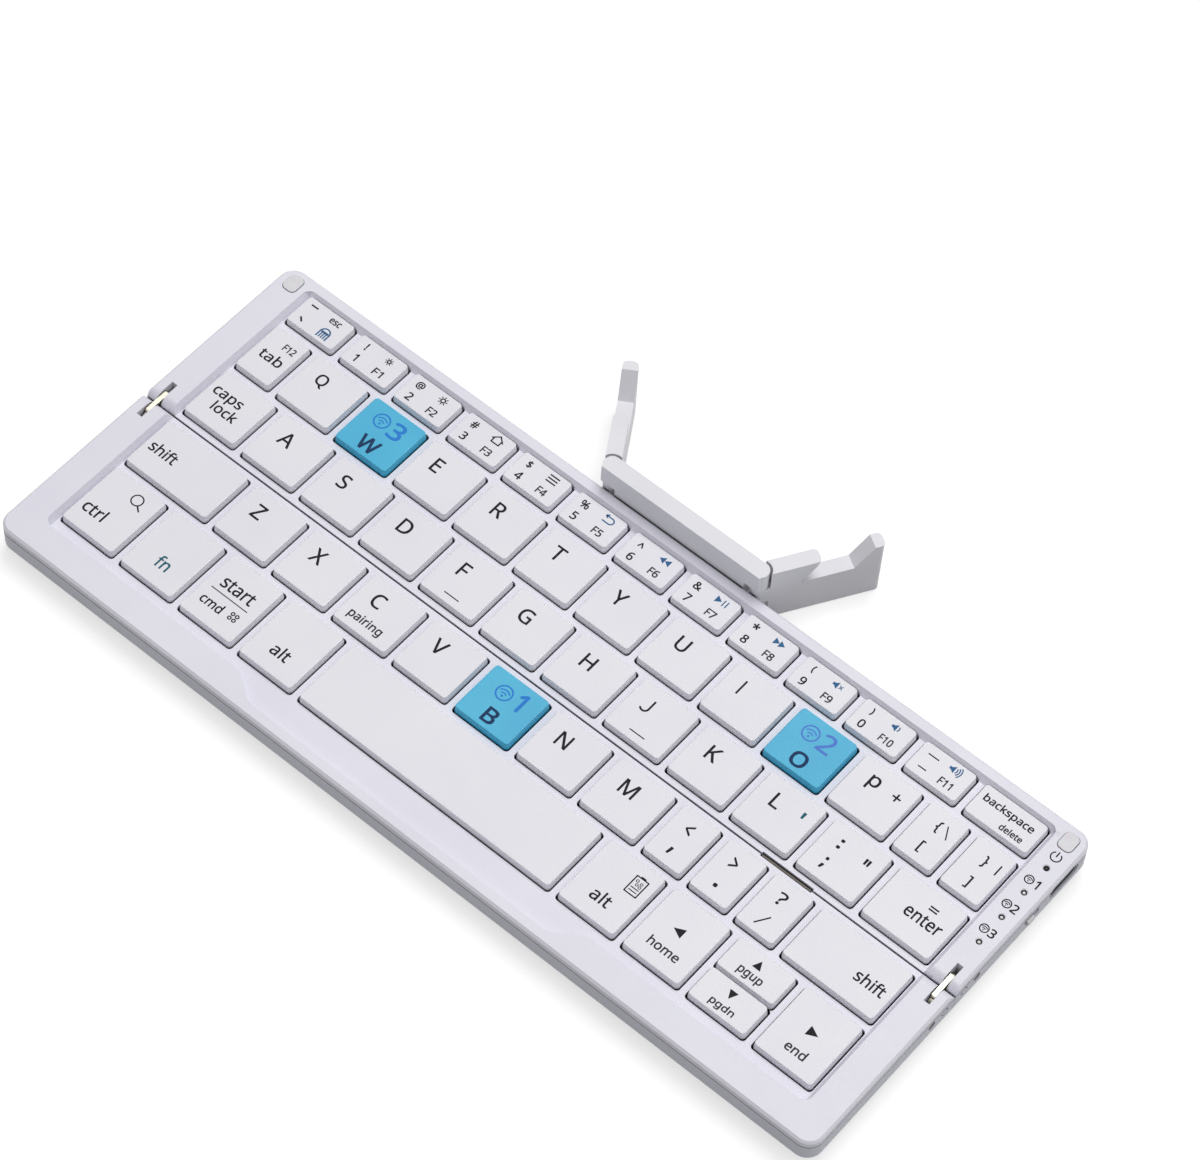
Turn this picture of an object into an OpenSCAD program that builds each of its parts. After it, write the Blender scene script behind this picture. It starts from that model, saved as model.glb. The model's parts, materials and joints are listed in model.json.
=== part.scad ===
// Folding keyboard with a phone stand on its back edge. Millimetres, +Z up, +X to the right.
// Two equal halves meet at a fold line along X. The front half swings up and over on a pair of
// double-pivot steel links, and lies face down on the rear half.
// The origin is on the table, below the centre of the whole footprint, stand included.

/* [Keys] */
// Pitch of the letter keys
key_pitch = 16; // [15:0.25:18]
// Pitch of the narrow number keys
number_pitch = 14.75; // [14:0.25:15]
// Gap between neighbouring keys
key_gap = 2; // [1.8:0.1:2.4]
// Gap between the two half keys in the bottom row
page_gap = 0.5; // [0.4:0.05:2]
// Depth of the letter and number-row neighbours, front to back
letter_d = 13.4; // [12:0.2:15]
// Depth of the number keys, front to back
number_d = 8.1; // [7.6:0.1:10]
// Depth of the bottom row, front to back
bottom_d = 16.4; // [16:0.2:18]
// Width of the space bar
space_w = 64.4; // [60:0.2:70]
// Width of the tab key
tab_w = 9.4; // [8.6:0.2:10]
// Width of each shift key
shift_w = 22.1; // [20:0.1:23]
// Distance from the fold line to the nearest row of keys
seam_to_key = 1.8; // [1.6:0.1:2.4]
// Height of the key tops above the deck
key_rise = 1.6; // [1.2:0.1:1.6]
// Depth that a key skirt reaches below the deck's top face
key_sink = 0.5; // [0.3:0.1:0.6]
// Travel of a key
key_travel = 1.2; // [0.8:0.1:1.2]
// Inward slope of a key's sides, from skirt to top
key_draft = 0.2; // [0.1:0.05:0.6]
// Corner radius of a key, seen from above
key_r = 0.8; // [0.5:0.1:1.2]
// Thickness of a key's sides
key_wall = 0.9; // [0.7:0.05:1]
// Thickness of a key's top
key_skin = 0.8; // [0.6:0.05:1]
// Radius of the plunger below a key
plunger_r = 0.9; // [0.7:0.05:1]
// Clearance round a key in its opening in the deck
key_clear = 0.3; // [0.2:0.05:0.4]

/* [Body] */
// Margin beside the keys, on the left and right
side_margin = 8.3; // [8.3:0.1:11]
// Margin behind the number row
back_margin = 3.4; // [3.4:0.1:5]
// How much shallower the front half is, so that it folds down clear of the stand's bar
fold_step = 0.6; // [0.5:0.05:0.8]
// Corner radius of the body, seen from above
corner_r = 3.5; // [3:0.25:4]
// Bevel along the top edge
bevel = 0.5; // [0.3:0.05:0.7]
// Thickness of each half, without its feet
body_h = 6; // [6:0.1:7]
// Height of the feet below the body
foot_h = 3; // [2.4:0.1:3.4]
// Depth of the key field below the rim
recess_d = 1.7; // [1.7:0.1:2]
// Run of the sloping wall round the key field
recess_slope = 1; // [0.6:0.1:1]
// Flat rim between the key field and the back edge
back_rim = 2.5; // [2.4:0.1:2.7]
// Wall thickness round the sides
wall = 1; // [0.9:0.05:1.1]
// Thickness of the floor and of the deck
skin = 0.8; // [0.7:0.05:0.9]
// Thickness of the rim's top
rim_skin = 1; // [0.9:0.05:1]
// Height of the joint line below the rim
joint_drop = 1.9; // [1.8:0.05:2]
// Height of the groove round the joint
joint_line = 0.2; // [0.1:0.05:0.25]
// Depth of the groove round the joint
joint_line_d = 0.25; // [0.1:0.05:0.3]
// Gap left between the two halves at the fold line
seam_gap = 0.1; // [0.1:0.02:0.2]

/* [Thumb scoop] */
// Depth of the key field in front of the space bar
scoop_lip = 7.4; // [5:0.2:7.6]
// Depth of the key field in front of the outer keys
side_lip = 3.1; // [2.4:0.1:3.6]
// Half width of the deep middle of the scoop
scoop_half = 37; // [30:1:40]
// Length of the curve that leads out of the scoop
scoop_ease = 9; // [6:1:12]

/* [Hinge] */
// Distance from the fold line to each pivot
pivot_y = 3; // [2.9:0.05:3.2]
// Gap between the rims when the keyboard is folded
fold_gap = 0.6; // [0.5:0.05:0.8]
// Radius of the pivot pins
pivot_r = 0.6; // [0.5:0.05:0.7]
// Radius of the rounded ends of the links
link_r = 1.25; // [1.15:0.05:1.3]
// Thickness of the links
link_t = 1; // [0.8:0.05:1.1]
// Side clearance between a link and its slot
link_clear = 0.2; // [0.15:0.05:0.25]
// Distance from the side of the body to the middle of a link
link_inset = 3.05; // [3:0.05:3.2]
// Distance from the fold line to each end of a link slot
slot_half = 5.3; // [5:0.1:5.5]
// Radial running clearance on the pins
pin_clear = 0.03; // [0.02:0.01:0.06]
// Radius of the anchor pins in the sides
anchor_r = 1; // [0.8:0.05:1]
// Distance from the fold line to the anchor pins
anchor_y = 7; // [6.9:0.05:7.2]

/* [Electronics] */
// Width of the charging socket's shell
port_w = 8.94; // [8.9:0.01:9]
// Height of the charging socket's shell
port_h = 3.2; // [3.1:0.05:3.3]
// Distance from the fold line to the middle of the charging socket
port_y = 34.5; // [34.4:0.1:34.6]
// Distance from the fold line to the middle of the power switch
switch_y = 24.4; // [24.3:0.05:24.5]
// Travel of the power switch
switch_travel = 2; // [1.6:0.1:2.2]
// Length of the power switch's knob
knob_l = 2; // [1.6:0.1:2]
// Distance that the knob stands out of the side
knob_out = 0.6; // [0.4:0.1:1]
// Radius of the status light lenses
led_r = 0.75; // [0.6:0.05:0.9]
// Distance between the status lights
led_pitch = 7.1; // [6.9:0.05:7.15]
// Length of the battery
battery_l = 80; // [60:1:90]
// Thickness of the battery
battery_t = 2.5; // [2:0.1:2.6]
// Width of the flat cable that crosses the fold
flex_w = 12; // [8:0.5:14]

/* [Phone stand] */
// Length of the stand's bar between the wing pins
wing_span = 38.4; // [34:0.4:44]
// Thickness of the bar
bar_t = 3.8; // [3.7:0.1:4.2]
// How far the bar's front face runs on past the wing pins
bar_corner = 1.3; // [1:0.1:1.4]
// Thickness of the wings
wing_t = 3.4; // [3:0.1:3.4]
// Length of a wing from its pin
wing_l = 26; // [25.5:0.5:28]
// Angle between an open wing and straight back
wing_angle = 31.5; // [28:0.5:38]
// Depth of the ledge that the phone stands on, below the wing's top edge
ledge_drop = 5.6; // [5:0.1:6]
// Distance from the pin to the front of the ledge
hook_u = 8.5; // [8:0.1:9.5]
// Lean of the hook's underside, run for its height
hook_run = 4; // [3:0.1:4.2]
// Length of the ledge, front to back
ledge_l = 11.2; // [10:0.1:11.2]
// Lean of the slot's back wall, run for its height
rest_run = 4; // [3:0.1:4.2]
// Radius of the wing pins
wing_pin_r = 0.6; // [0.5:0.05:0.7]

/* [Feet, pads and fasteners] */
// Length of each rubber foot
foot_l = 30; // [16:1:36]
// Width of each rubber foot
foot_w = 5; // [3:0.1:5.4]
// Width of the pads on the back corners
pad_w = 3.3; // [3:0.1:3.6]
// Depth of the pads on the back corners
pad_d = 4.2; // [3.8:0.1:4.3]
// Height of the pads above the rim
pad_out = 0.25; // [0.15:0.05:0.3]
// Radius of the magnets
magnet_r = 1.3; // [1.1:0.05:1.3]
// Radius of the screws
screw_r = 0.8; // [0.7:0.05:0.8]
// Radius of the screw heads
screw_head_r = 1.35; // [1.2:0.05:1.4]

/* [Hidden] */

round_fn = 48;
small_fn = 24;
over = 1;                 // how far a cutter runs past the face it cuts
touch = 0.05;             // clearance between two parts that are put together by hand

// Colours
body_white = [0.89, 0.89, 0.92];
dark_film = [0.16, 0.16, 0.17];
dark_plate = [0.3, 0.3, 0.31];
key_white = [0.9, 0.9, 0.91];
accent_blue = [0.3, 0.72, 0.86];
steel = [0.75, 0.74, 0.7];
soft_grey = [0.82, 0.82, 0.82];

// Heights
rim_top = foot_h + body_h;
deck_top = rim_top - recess_d;
deck_bottom = deck_top - skin;
rim_bottom = rim_top - rim_skin;
joint_z = rim_top - joint_drop;
floor_top = foot_h + skin;
plate_t = 0.4;
plate_top = floor_top + plate_t;
sheet_t = 0.25;
sheet_top = plate_top + sheet_t;
key_top = deck_top + key_rise;
key_bottom = deck_top - key_sink;
plunger_bottom = sheet_top + key_travel + 0.1;
folded_top = foot_h + 2 * body_h + fold_gap;

// Key field, measured across X and outwards from the fold line
field_w = 8 * key_pitch + space_w;
field_l = -field_w / 2;
field_r = field_w / 2;
near_row = seam_to_key;
middle_row = near_row + letter_d + key_gap;
number_row = middle_row + letter_d + key_gap;
letter_w = key_pitch - key_gap;
number_w = number_pitch - key_gap;
half_page_d = (bottom_d - page_gap) / 2;

// Body outline
body_w = field_w + 2 * side_margin;
side_x = body_w / 2;
rear_depth = number_row + number_d + back_margin;
front_depth = rear_depth - fold_step;
function depth_of(is_rear) = is_rear ? rear_depth : front_depth;
seam_y = seam_gap / 2;
recess_x = field_r + key_clear + 0.2 + recess_slope;
recess_back = rear_depth - back_rim;
bottom_far = middle_row + bottom_d;
side_lip_y = bottom_far + side_lip;
scoop_lip_y = bottom_far + scoop_lip;
recess_wall = 0.8;
recess_r = 2;

// Hinge
pivot_z = rim_top - pivot_y + fold_gap / 2;
relief_r = pivot_y - seam_y;
link_x = side_x - link_inset;
slot_w = link_t + 2 * link_clear;
block_x = recess_x + recess_wall + touch;
block_far = anchor_y + anchor_r + 1;
anchor_z = joint_z - anchor_r - 0.4;
plug_line_d = 0.25;

// Things in the right-hand margin
margin_x = (block_x + side_x - wall) / 2;
board_x = block_x + 0.3;
board_t = 0.6;
board_top = floor_top + board_t;
port_z = board_top + port_h / 2;
port_back = block_x + 0.15;
tongue_w = port_w - 2.3;
led_x = side_x - 3.5;
led_first = 11.6;
switch_slot = knob_l + switch_travel + 0.4;
knob_h = 1.4;
switch_z = board_top + 1.4;
knob_inner = side_x - wall - 0.9;
switch_side = 0.2;

// Fasteners, magnets, pads and feet
screw_x = margin_x;
screw_near = led_first + led_pitch / 2;
screw_far = led_first + 2.37 * led_pitch;
screw_left_far = 34;
front_screw_far = 34;
boss_r = screw_r + 0.7;
boss_split = floor_top + 2;
head_t = 0.45;
head_z = foot_h + 0.1;
screw_tip = rim_bottom - 0.4;
pad_inset = 3.7;
pad_x = side_x - pad_inset;
pad_y = rear_depth - pad_inset - 0.1;
pad_gap = 0.12;
magnet_x = pad_x - 0.7;
magnet_y = pad_y;
pad_r = 1.1;
pad_seat = 0.4;
foot_side = 32.5;
foot_x = side_x - foot_side;
foot_inset = 7;
foot_r = foot_w / 2 - 0.4;
foot_seat = 0.3;
screw_to_foot = 4;
front_screw_x = foot_x - foot_l / 2 - screw_to_foot;

// Phone stand
bar_front = rear_depth;
pin_y = bar_front + bar_t / 2;
pin_x = wing_span / 2;
knuckle_gap = 0.2;
knuckle_low = foot_h + 3;
knuckle_high = foot_h + body_h + 1.4;
wing_knuckle_r = bar_t / 2 - 0.2;
root_r = sqrt(bar_corner * bar_corner + bar_t * bar_t / 4) + 0.15;
window_x = pin_x - 2.4;
wing_low = 0.1;
ledge_z = folded_top - ledge_drop;
rest_u = hook_u + ledge_l;
hook_tip = hook_u + hook_run;
stand_screw_x = 10;
stand_screw_z = floor_top + 1.5;
stand_screw_r = 0.7;
stand_screw_grip = 3;
wing_end_r = 1.2;
stand_reach = pin_y + (wing_l - wing_end_r) * cos(wing_angle)
    + (wing_t / 2 - wing_end_r) * sin(wing_angle) + wing_end_r;

// The fold line lies this far in front of the middle of the footprint.
frame_y = (stand_reach - front_depth) / 2;

// ---------------------------------------------------------------- key places
// A key is [left, near edge from the fold line, width, depth].
function key_run(left, near, w, d, n, pitch = key_pitch) =
    [for (i = [0:n - 1]) [left + i * pitch, near, w, d]];

number_left = field_l + number_pitch;
upper_left = field_l + tab_w + key_gap;
home_left = field_l + key_pitch;
lower_left = field_l + shift_w + key_gap;
bracket_left = upper_left + 10 * key_pitch;
bracket_w = (field_r - bracket_left - key_gap) / 2;
comma_left = lower_left + 7 * key_pitch;
comma_pitch = (field_r - shift_w - comma_left) / 3;
right_block = field_r - 4 * key_pitch + key_gap;

k_escape = [field_l, number_row, number_w, number_d];
k_numbers = key_run(number_left, number_row, number_w, number_d, 11, number_pitch);
k_backspace = [number_left + 11 * number_pitch, number_row,
    field_r - number_left - 11 * number_pitch, number_d];
k_tab = [field_l, middle_row, tab_w, letter_d];
k_upper = key_run(upper_left, middle_row, letter_w, letter_d, 10);
k_brackets = key_run(bracket_left, middle_row, bracket_w, letter_d, 2, bracket_w + key_gap);
w_place = 1;
o_place = 8;
k_caps = [field_l, near_row, letter_w, letter_d];
k_home = key_run(home_left, near_row, letter_w, letter_d, 10);
k_enter = [home_left + 10 * key_pitch, near_row, field_r - home_left - 10 * key_pitch, letter_d];
k_shift_left = [field_l, near_row, shift_w, letter_d];
k_lower = key_run(lower_left, near_row, letter_w, letter_d, 7);
b_place = 4;
k_punctuation = key_run(comma_left, near_row, comma_pitch - key_gap, letter_d, 3, comma_pitch);
k_shift_right = [field_r - shift_w, near_row, shift_w, letter_d];
k_left_block = key_run(field_l, middle_row, letter_w, bottom_d, 4);
k_space = [-space_w / 2, middle_row, space_w, bottom_d];
k_right_block = key_run(right_block, middle_row, letter_w, bottom_d, 4);
k_up = [right_block + 2 * key_pitch, middle_row, letter_w, half_page_d];
k_down = [right_block + 2 * key_pitch, middle_row + half_page_d + page_gap, letter_w, half_page_d];

rear_keys = concat([k_escape], k_numbers, [k_backspace, k_tab], k_upper, k_brackets,
    [k_caps], k_home, [k_enter]);
front_keys = concat([k_shift_left], k_lower, k_punctuation, [k_shift_right], k_left_block,
    [k_space], [k_right_block[0], k_right_block[1], k_up, k_down, k_right_block[3]]);

function except(list, skip) =
    [for (i = [0:len(list) - 1]) if (len(search(i, skip)) == 0) list[i]];

// Plungers of a key: one in the middle, and two more near the ends of a long key.
function plungers(k) =
    let (cx = k[0] + k[2] / 2, cy = k[1] + k[3] / 2, far = k[2] / 2 - 12)
    k[2] > 3 * key_pitch ? [[cx - far, cy], [cx, cy], [cx + far, cy]] : [[cx, cy]];

// ---------------------------------------------------------------- shared shapes
// Moves a part from fold-line coordinates to the part's own frame.
module rear() translate([0, -frame_y, 0]) children();

// The same, for the half in front of the fold line.
module front() translate([0, -frame_y, 0]) mirror([0, 1, 0]) children();

module both_sides() {
    children();
    mirror([1, 0, 0]) children();
}

module rounded_rect(x, y, w, d, r) {
    translate([x + r, y]) square([w - 2 * r, d]);
    translate([x, y + r]) square([w, d - 2 * r]);
    for (cx = [x + r, x + w - r], cy = [y + r, y + d - r])
        translate([cx, cy]) circle(r, $fn = small_fn);
}

// Upright block with sloping sides: x, y, w and d hold at the bottom, and each side moves
// inwards by draft on the way up. A negative draft makes a pocket that widens upwards.
module drafted_block(x, y, w, d, z0, z1, draft, r) {
    h = z1 - z0;
    big = max(0, -draft);
    intersection() {
        translate([0, 0, z0]) linear_extrude(h)
            rounded_rect(x - big, y - big, w + 2 * big, d + 2 * big, r);
        translate([0, y + d + big + over, z0]) rotate([90, 0, 0])
            linear_extrude(d + 2 * big + 2 * over)
            polygon([[x, 0], [x + w, 0], [x + w - draft, h], [x + draft, h]]);
        translate([x - big - over, 0, z0]) rotate([90, 0, 90])
            linear_extrude(w + 2 * big + 2 * over)
            polygon([[y, 0], [y + d, 0], [y + d - draft, h], [y + draft, h]]);
    }
}

module rod(x0, x1, y, z, r, fn = small_fn)
    translate([x0, y, z]) rotate([0, 90, 0]) cylinder(h = x1 - x0, r = r, $fn = fn);

module post(x, y, z0, z1, r, fn = small_fn)
    translate([x, y, z0]) cylinder(h = z1 - z0, r = r, $fn = fn);

// Outline of one half, drawn in by inset at its sides and back, from near outwards.
module half_outline(depth, inset, near) {
    w = side_x - inset;
    far = depth - inset;
    translate([-w, near]) square([2 * w, depth - corner_r - near]);
    translate([-side_x + corner_r, near]) square([2 * (side_x - corner_r), far - near]);
    for (s = [-1, 1])
        translate([s * (side_x - corner_r), depth - corner_r])
            circle(corner_r - inset, $fn = round_fn);
}

// Top of the rim: the outline with a bevel along its sides, its back and its round corners.
module bevelled_rim(depth) {
    low = rim_top - bevel;
    corner_x = side_x - corner_r;
    corner_y = depth - corner_r;
    translate([0, 0, rim_bottom]) linear_extrude(low - rim_bottom) half_outline(depth, 0, seam_y);
    translate([0, corner_y, low]) rotate([90, 0, 0]) linear_extrude(corner_y - seam_y)
        polygon([[-side_x, 0], [side_x, 0], [side_x - bevel, bevel], [-side_x + bevel, bevel]]);
    translate([-corner_x, 0, low]) rotate([90, 0, 90]) linear_extrude(2 * corner_x)
        polygon([[seam_y, 0], [depth, 0], [depth - bevel, bevel], [seam_y, bevel]]);
    for (s = [-1, 1])
        translate([s * corner_x, corner_y, low])
            cylinder(h = bevel, r1 = corner_r, r2 = corner_r - bevel, $fn = round_fn);
}

// Everything between the pivots that would foul the other half while folding.
module fold_relief() {
    difference() {
        translate([-side_x - over, -over, pivot_z])
            cube([body_w + 2 * over, over + pivot_y, rim_top]);
        rod(-side_x - 2 * over, side_x + 2 * over, pivot_y, pivot_z, relief_r, round_fn);
    }
}

module link_slot(z0)
    translate([link_x - slot_w / 2, -over, z0])
        cube([slot_w, slot_half + over, rim_top + over - z0]);

// Opening across the fold for the flat cable, between the two rows of keys.
flex_inset = 37.75;
flex_x = link_x - flex_inset - flex_w / 2;
module flex_notch(depth, z0)
    translate([flex_x - touch - 0.2, -over, z0])
        cube([flex_w + 2 * touch + 0.4, over + depth, rim_top]);

// ---------------------------------------------------------------- top frames
// Edge of the key field in front of the bottom row: deep in the middle, shallow at the sides.
function ease(t) = (1 - cos(180 * min(1, max(0, t)))) / 2;
function lip_y(x) = scoop_lip_y + (side_lip_y - scoop_lip_y) * ease((abs(x) - scoop_half) / scoop_ease);
ease_steps = 10;
lip_points = [
    for (s = [-1, 1], i = [0:ease_steps])
        let (t = s < 0 ? ease_steps - i : i, x = s * (scoop_half + scoop_ease * t / ease_steps))
        [x, lip_y(x)]
];

module rear_recess_plan(grow) {
    w = recess_x + grow;
    rounded_rect(-w, -2 * recess_r - over, 2 * w, 2 * recess_r + over + recess_back + grow, recess_r);
}

module front_recess_plan(grow) {
    w = recess_x + grow;
    far = side_lip_y + grow;
    rounded_rect(-w, -2 * recess_r - over, 2 * w, 2 * recess_r + over + far, recess_r);
    polygon(concat([[-w + recess_r, 0]], [[-w + recess_r, far]],
        [for (p = lip_points) [p[0], p[1] + grow]],
        [[w - recess_r, far]], [[w - recess_r, 0]]));
}

// The key field as a pocket with sloping side walls.
module recess_cut(is_rear) {
    h = rim_top + over - deck_top;
    lean = recess_slope * h / recess_d;
    low = recess_x - recess_slope;
    intersection() {
        translate([0, 0, deck_top]) linear_extrude(h)
            if (is_rear) rear_recess_plan(0); else front_recess_plan(0);
        translate([0, rear_depth + over, deck_top]) rotate([90, 0, 0])
            linear_extrude(rear_depth + 2 * over)
            polygon([[-low, 0], [low, 0], [low + lean, h], [-low - lean, h]]);
        if (is_rear)
            translate([-side_x, 0, deck_top]) rotate([90, 0, 90]) linear_extrude(body_w)
                polygon([[-over, 0], [recess_back - recess_slope, 0],
                    [recess_back - recess_slope + lean, h], [-over, h]]);
    }
}

module screw_boss_top(x, y) post(x, y, boss_split + 0.1, rim_bottom + touch, boss_r);

module top_frame(is_rear, keys, bosses) {
    depth = depth_of(is_rear);
    difference() {
        union() {
            bevelled_rim(depth);
            translate([0, 0, joint_z]) linear_extrude(rim_bottom - joint_z) difference() {
                half_outline(depth, 0, seam_y);
                half_outline(depth, wall, -over);
            }
            translate([0, 0, deck_bottom]) linear_extrude(rim_bottom - deck_bottom)
                intersection() {
                    if (is_rear) rear_recess_plan(recess_wall);
                    else front_recess_plan(recess_wall);
                    half_outline(depth, wall + touch, seam_y);
                }
            both_sides()
                translate([block_x, seam_y, joint_z])
                    cube([side_x - wall / 2 - block_x, block_far - seam_y, rim_bottom - joint_z]);
            for (b = bosses) screw_boss_top(b[0], b[1]);
        }
        recess_cut(is_rear);
        translate([0, 0, deck_bottom - over]) linear_extrude(skin + 2 * over)
            for (k = keys)
                rounded_rect(k[0] - key_clear, k[1] - key_clear,
                    k[2] + 2 * key_clear, k[3] + 2 * key_clear, key_r);
        both_sides() link_slot(0);
        fold_relief();
        flex_notch(0.55, deck_bottom - over);
        for (b = bosses) post(b[0], b[1], 0, screw_tip + 0.1, screw_r + 0.02);
    }
}

rear_bosses = [[screw_x, screw_near], [screw_x, screw_far],
    [-screw_x, screw_near], [-screw_x, screw_left_far]];
front_bosses = [[screw_x, screw_near], [screw_x, front_screw_far],
    [-screw_x, screw_near], [-screw_x, front_screw_far],
    [front_screw_x, front_depth - 3.7], [-front_screw_x, front_depth - 3.7]];
led_places = [for (i = [0:3]) led_first + i * led_pitch];

module rear_top_frame()
    color(body_white) rear() difference() {
        top_frame(true, rear_keys, rear_bosses);
        for (y = led_places) post(led_x, y, rim_bottom - over, rim_top + over, led_r + 0.1);
        both_sides()
            translate([0, 0, rim_top - pad_seat]) linear_extrude(over)
                rounded_rect(pad_x - pad_w / 2 - pad_gap, pad_y - pad_d / 2 - pad_gap,
                    pad_w + 2 * pad_gap, pad_d + 2 * pad_gap, pad_r + pad_gap);
        port_cut();
    }

module front_top_frame()
    color(body_white) front() top_frame(false, front_keys, front_bosses);

// ---------------------------------------------------------------- bottom covers
module port_shape(grow) {
    r = port_h / 2 + grow;
    flat = port_w / 2 - port_h / 2;
    translate([port_y - flat, port_z - r]) square([2 * flat, 2 * r]);
    for (s = [-1, 1]) translate([port_y + s * flat, port_z]) circle(r, $fn = small_fn);
}

module along_x(x0, x1) translate([x0, 0, 0]) rotate([90, 0, 90]) linear_extrude(x1 - x0) children();

module port_cut() along_x(side_x - wall - over, side_x + over) port_shape(0.1);

// Round line of the plug that closes the pivot's bore in the side.
module plug_line()
    difference() {
        rod(side_x - plug_line_d, side_x + over, pivot_y, anchor_z, anchor_r);
        rod(side_x - plug_line_d - over, side_x + 2 * over, pivot_y, anchor_z, anchor_r - 0.2);
    }

module bottom_cover(is_rear, bosses) {
    depth = depth_of(is_rear);
    difference() {
        union() {
            translate([0, 0, foot_h]) linear_extrude(skin) half_outline(depth, 0, seam_y);
            translate([0, 0, floor_top]) linear_extrude(joint_z - joint_line - floor_top) difference() {
                half_outline(depth, 0, seam_y);
                half_outline(depth, wall, -over);
            }
            translate([0, 0, joint_z - joint_line]) linear_extrude(joint_line) difference() {
                half_outline(depth, joint_line_d, seam_y);
                half_outline(depth, wall, -over);
            }
            translate([-side_x + wall / 2, seam_y, floor_top])
                cube([body_w - wall, wall, deck_bottom - floor_top]);
            both_sides()
                translate([block_x, seam_y, floor_top])
                    cube([side_x - wall / 2 - block_x, block_far - seam_y, joint_z - floor_top]);
            for (b = bosses) post(b[0], b[1], floor_top, boss_split, boss_r);
        }
        for (b = bosses) {
            post(b[0], b[1], 0, joint_z, screw_r + 0.1);
            post(b[0], b[1], 0, head_z + head_t, screw_head_r + 0.1);
        }
        both_sides() {
            link_slot(floor_top);
            rod(block_x + 0.4, side_x - wall + 0.4, pivot_y, pivot_z, pivot_r + 0.01);
            rod(block_x + 0.4, side_x + over, anchor_y, anchor_z, anchor_r + 0.01);
            plug_line();
            translate([0, 0, foot_h - over]) linear_extrude(over + foot_seat)
                rounded_rect(foot_x - foot_l / 2 - touch, depth - foot_inset - foot_w / 2 - touch,
                    foot_l + 2 * touch, foot_w + 2 * touch, foot_r);
        }
        fold_relief();
        flex_notch(0.55, plate_top);
        translate([flex_x - touch, -over, plate_top]) cube([flex_w + 2 * touch, 3, 0.6]);
    }
}

module rear_bottom_cover()
    color(body_white) rear() difference() {
        bottom_cover(true, rear_bosses);
        port_cut();
        translate([side_x - wall - over, switch_y - switch_slot / 2, switch_z - knob_h / 2 - 0.1])
            cube([wall + 2 * over, switch_slot, knob_h + 0.2]);
        for (s = [-1, 1])
            translate([s * stand_screw_x, rear_depth - wall - over, stand_screw_z])
                rotate([-90, 0, 0]) cylinder(h = wall + 2 * over, r = stand_screw_r + 0.1, $fn = small_fn);
    }

module front_bottom_cover() color(body_white) front() bottom_cover(false, front_bosses);

// ---------------------------------------------------------------- below the keys
inner_x = block_x - 1.2;
rear_inner_far = recess_back - 0.4;
front_inner_far = bottom_far + 1.2;

module inner_sheet(far, z0, t)
    translate([-inner_x, seam_y + wall + 0.15, z0])
        cube([2 * inner_x, far - seam_y - wall - 0.15, t]);

module rear_base_plate() color(dark_plate) rear() inner_sheet(rear_inner_far, floor_top, plate_t);
module front_base_plate() color(dark_plate) front() inner_sheet(front_inner_far, floor_top, plate_t);
module rear_membrane() color(dark_film) rear() inner_sheet(rear_inner_far, plate_top, sheet_t);
module front_membrane() color(dark_film) front() inner_sheet(front_inner_far, plate_top, sheet_t);

// One soft ring under each plunger. The plunger travels down inside it.
dome_r = plunger_r + 0.7;
dome_h = 1;
module domes(keys)
    for (k = keys, p = plungers(k))
        difference() {
            post(p[0], p[1], sheet_top, sheet_top + dome_h, dome_r);
            post(p[0], p[1], sheet_top - over, sheet_top + dome_h + over, plunger_r + 0.35);
        }

module rear_rubber_domes() color(soft_grey) rear() domes(rear_keys);
module front_rubber_domes() color(soft_grey) front() domes(front_keys);

// Guide frame under each plunger, clipped flat to the base plate.
frame_h = 0.6;
frame_wall = 0.7;
module scissor_frames(keys)
    for (k = keys, p = plungers(k)) {
        w = min(k[2], letter_w) - 1.8;
        d = min(k[3], letter_d) - 1.8;
        translate([p[0] - w / 2, p[1] - d / 2, sheet_top]) difference() {
            cube([w, d, frame_h]);
            translate([frame_wall, frame_wall, -over])
                cube([w - 2 * frame_wall, d - 2 * frame_wall, frame_h + 2 * over]);
        }
    }

module rear_scissor_frames() color(dark_film) rear() scissor_frames(rear_keys);
module front_scissor_frames() color(dark_film) front() scissor_frames(front_keys);

// ---------------------------------------------------------------- electronics
module main_board()
    color([0.1, 0.35, 0.2]) rear() {
        board_near = block_far + 0.4;
        board_far = port_y + port_w / 2 + 0.3;
        difference() {
            translate([board_x, board_near, floor_top])
                cube([side_x - wall - 0.2 - board_x, board_far - board_near, board_t]);
            for (y = [screw_near, screw_far])
                post(screw_x, y, floor_top - over, board_top + over, boss_r + 0.15);
            post(magnet_x, magnet_y, floor_top - over, board_top + over, magnet_r + 0.15);
        }
        translate([led_x - 1.2, led_first + led_pitch + 0.6, board_top]) cube([2.4, 2.2, 0.8]);
    }

module usb_port_shell()
    color("silver") rear() difference() {
        along_x(port_back, side_x - 0.2) port_shape(0);
        along_x(port_back + 0.3, side_x + over) port_shape(-0.3);
    }

module usb_port_tongue()
    color([0.15, 0.15, 0.16]) rear()
        translate([port_back + 0.3, port_y - tongue_w / 2, port_z - 0.35])
            cube([side_x - 0.9 - port_back - 0.3, tongue_w, 0.7]);

module power_switch_body()
    color("silver") rear() difference() {
        translate([led_x - 0.6, switch_y - switch_slot / 2 - switch_side, board_top])
            cube([side_x - wall - 0.3 - led_x + 0.6, switch_slot + 2 * switch_side, 2.5]);
        translate([knob_inner - 0.1, switch_y - switch_slot / 2, switch_z - knob_h / 2 - 0.1])
            cube([over + 1, switch_slot, knob_h + 0.2]);
    }

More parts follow.
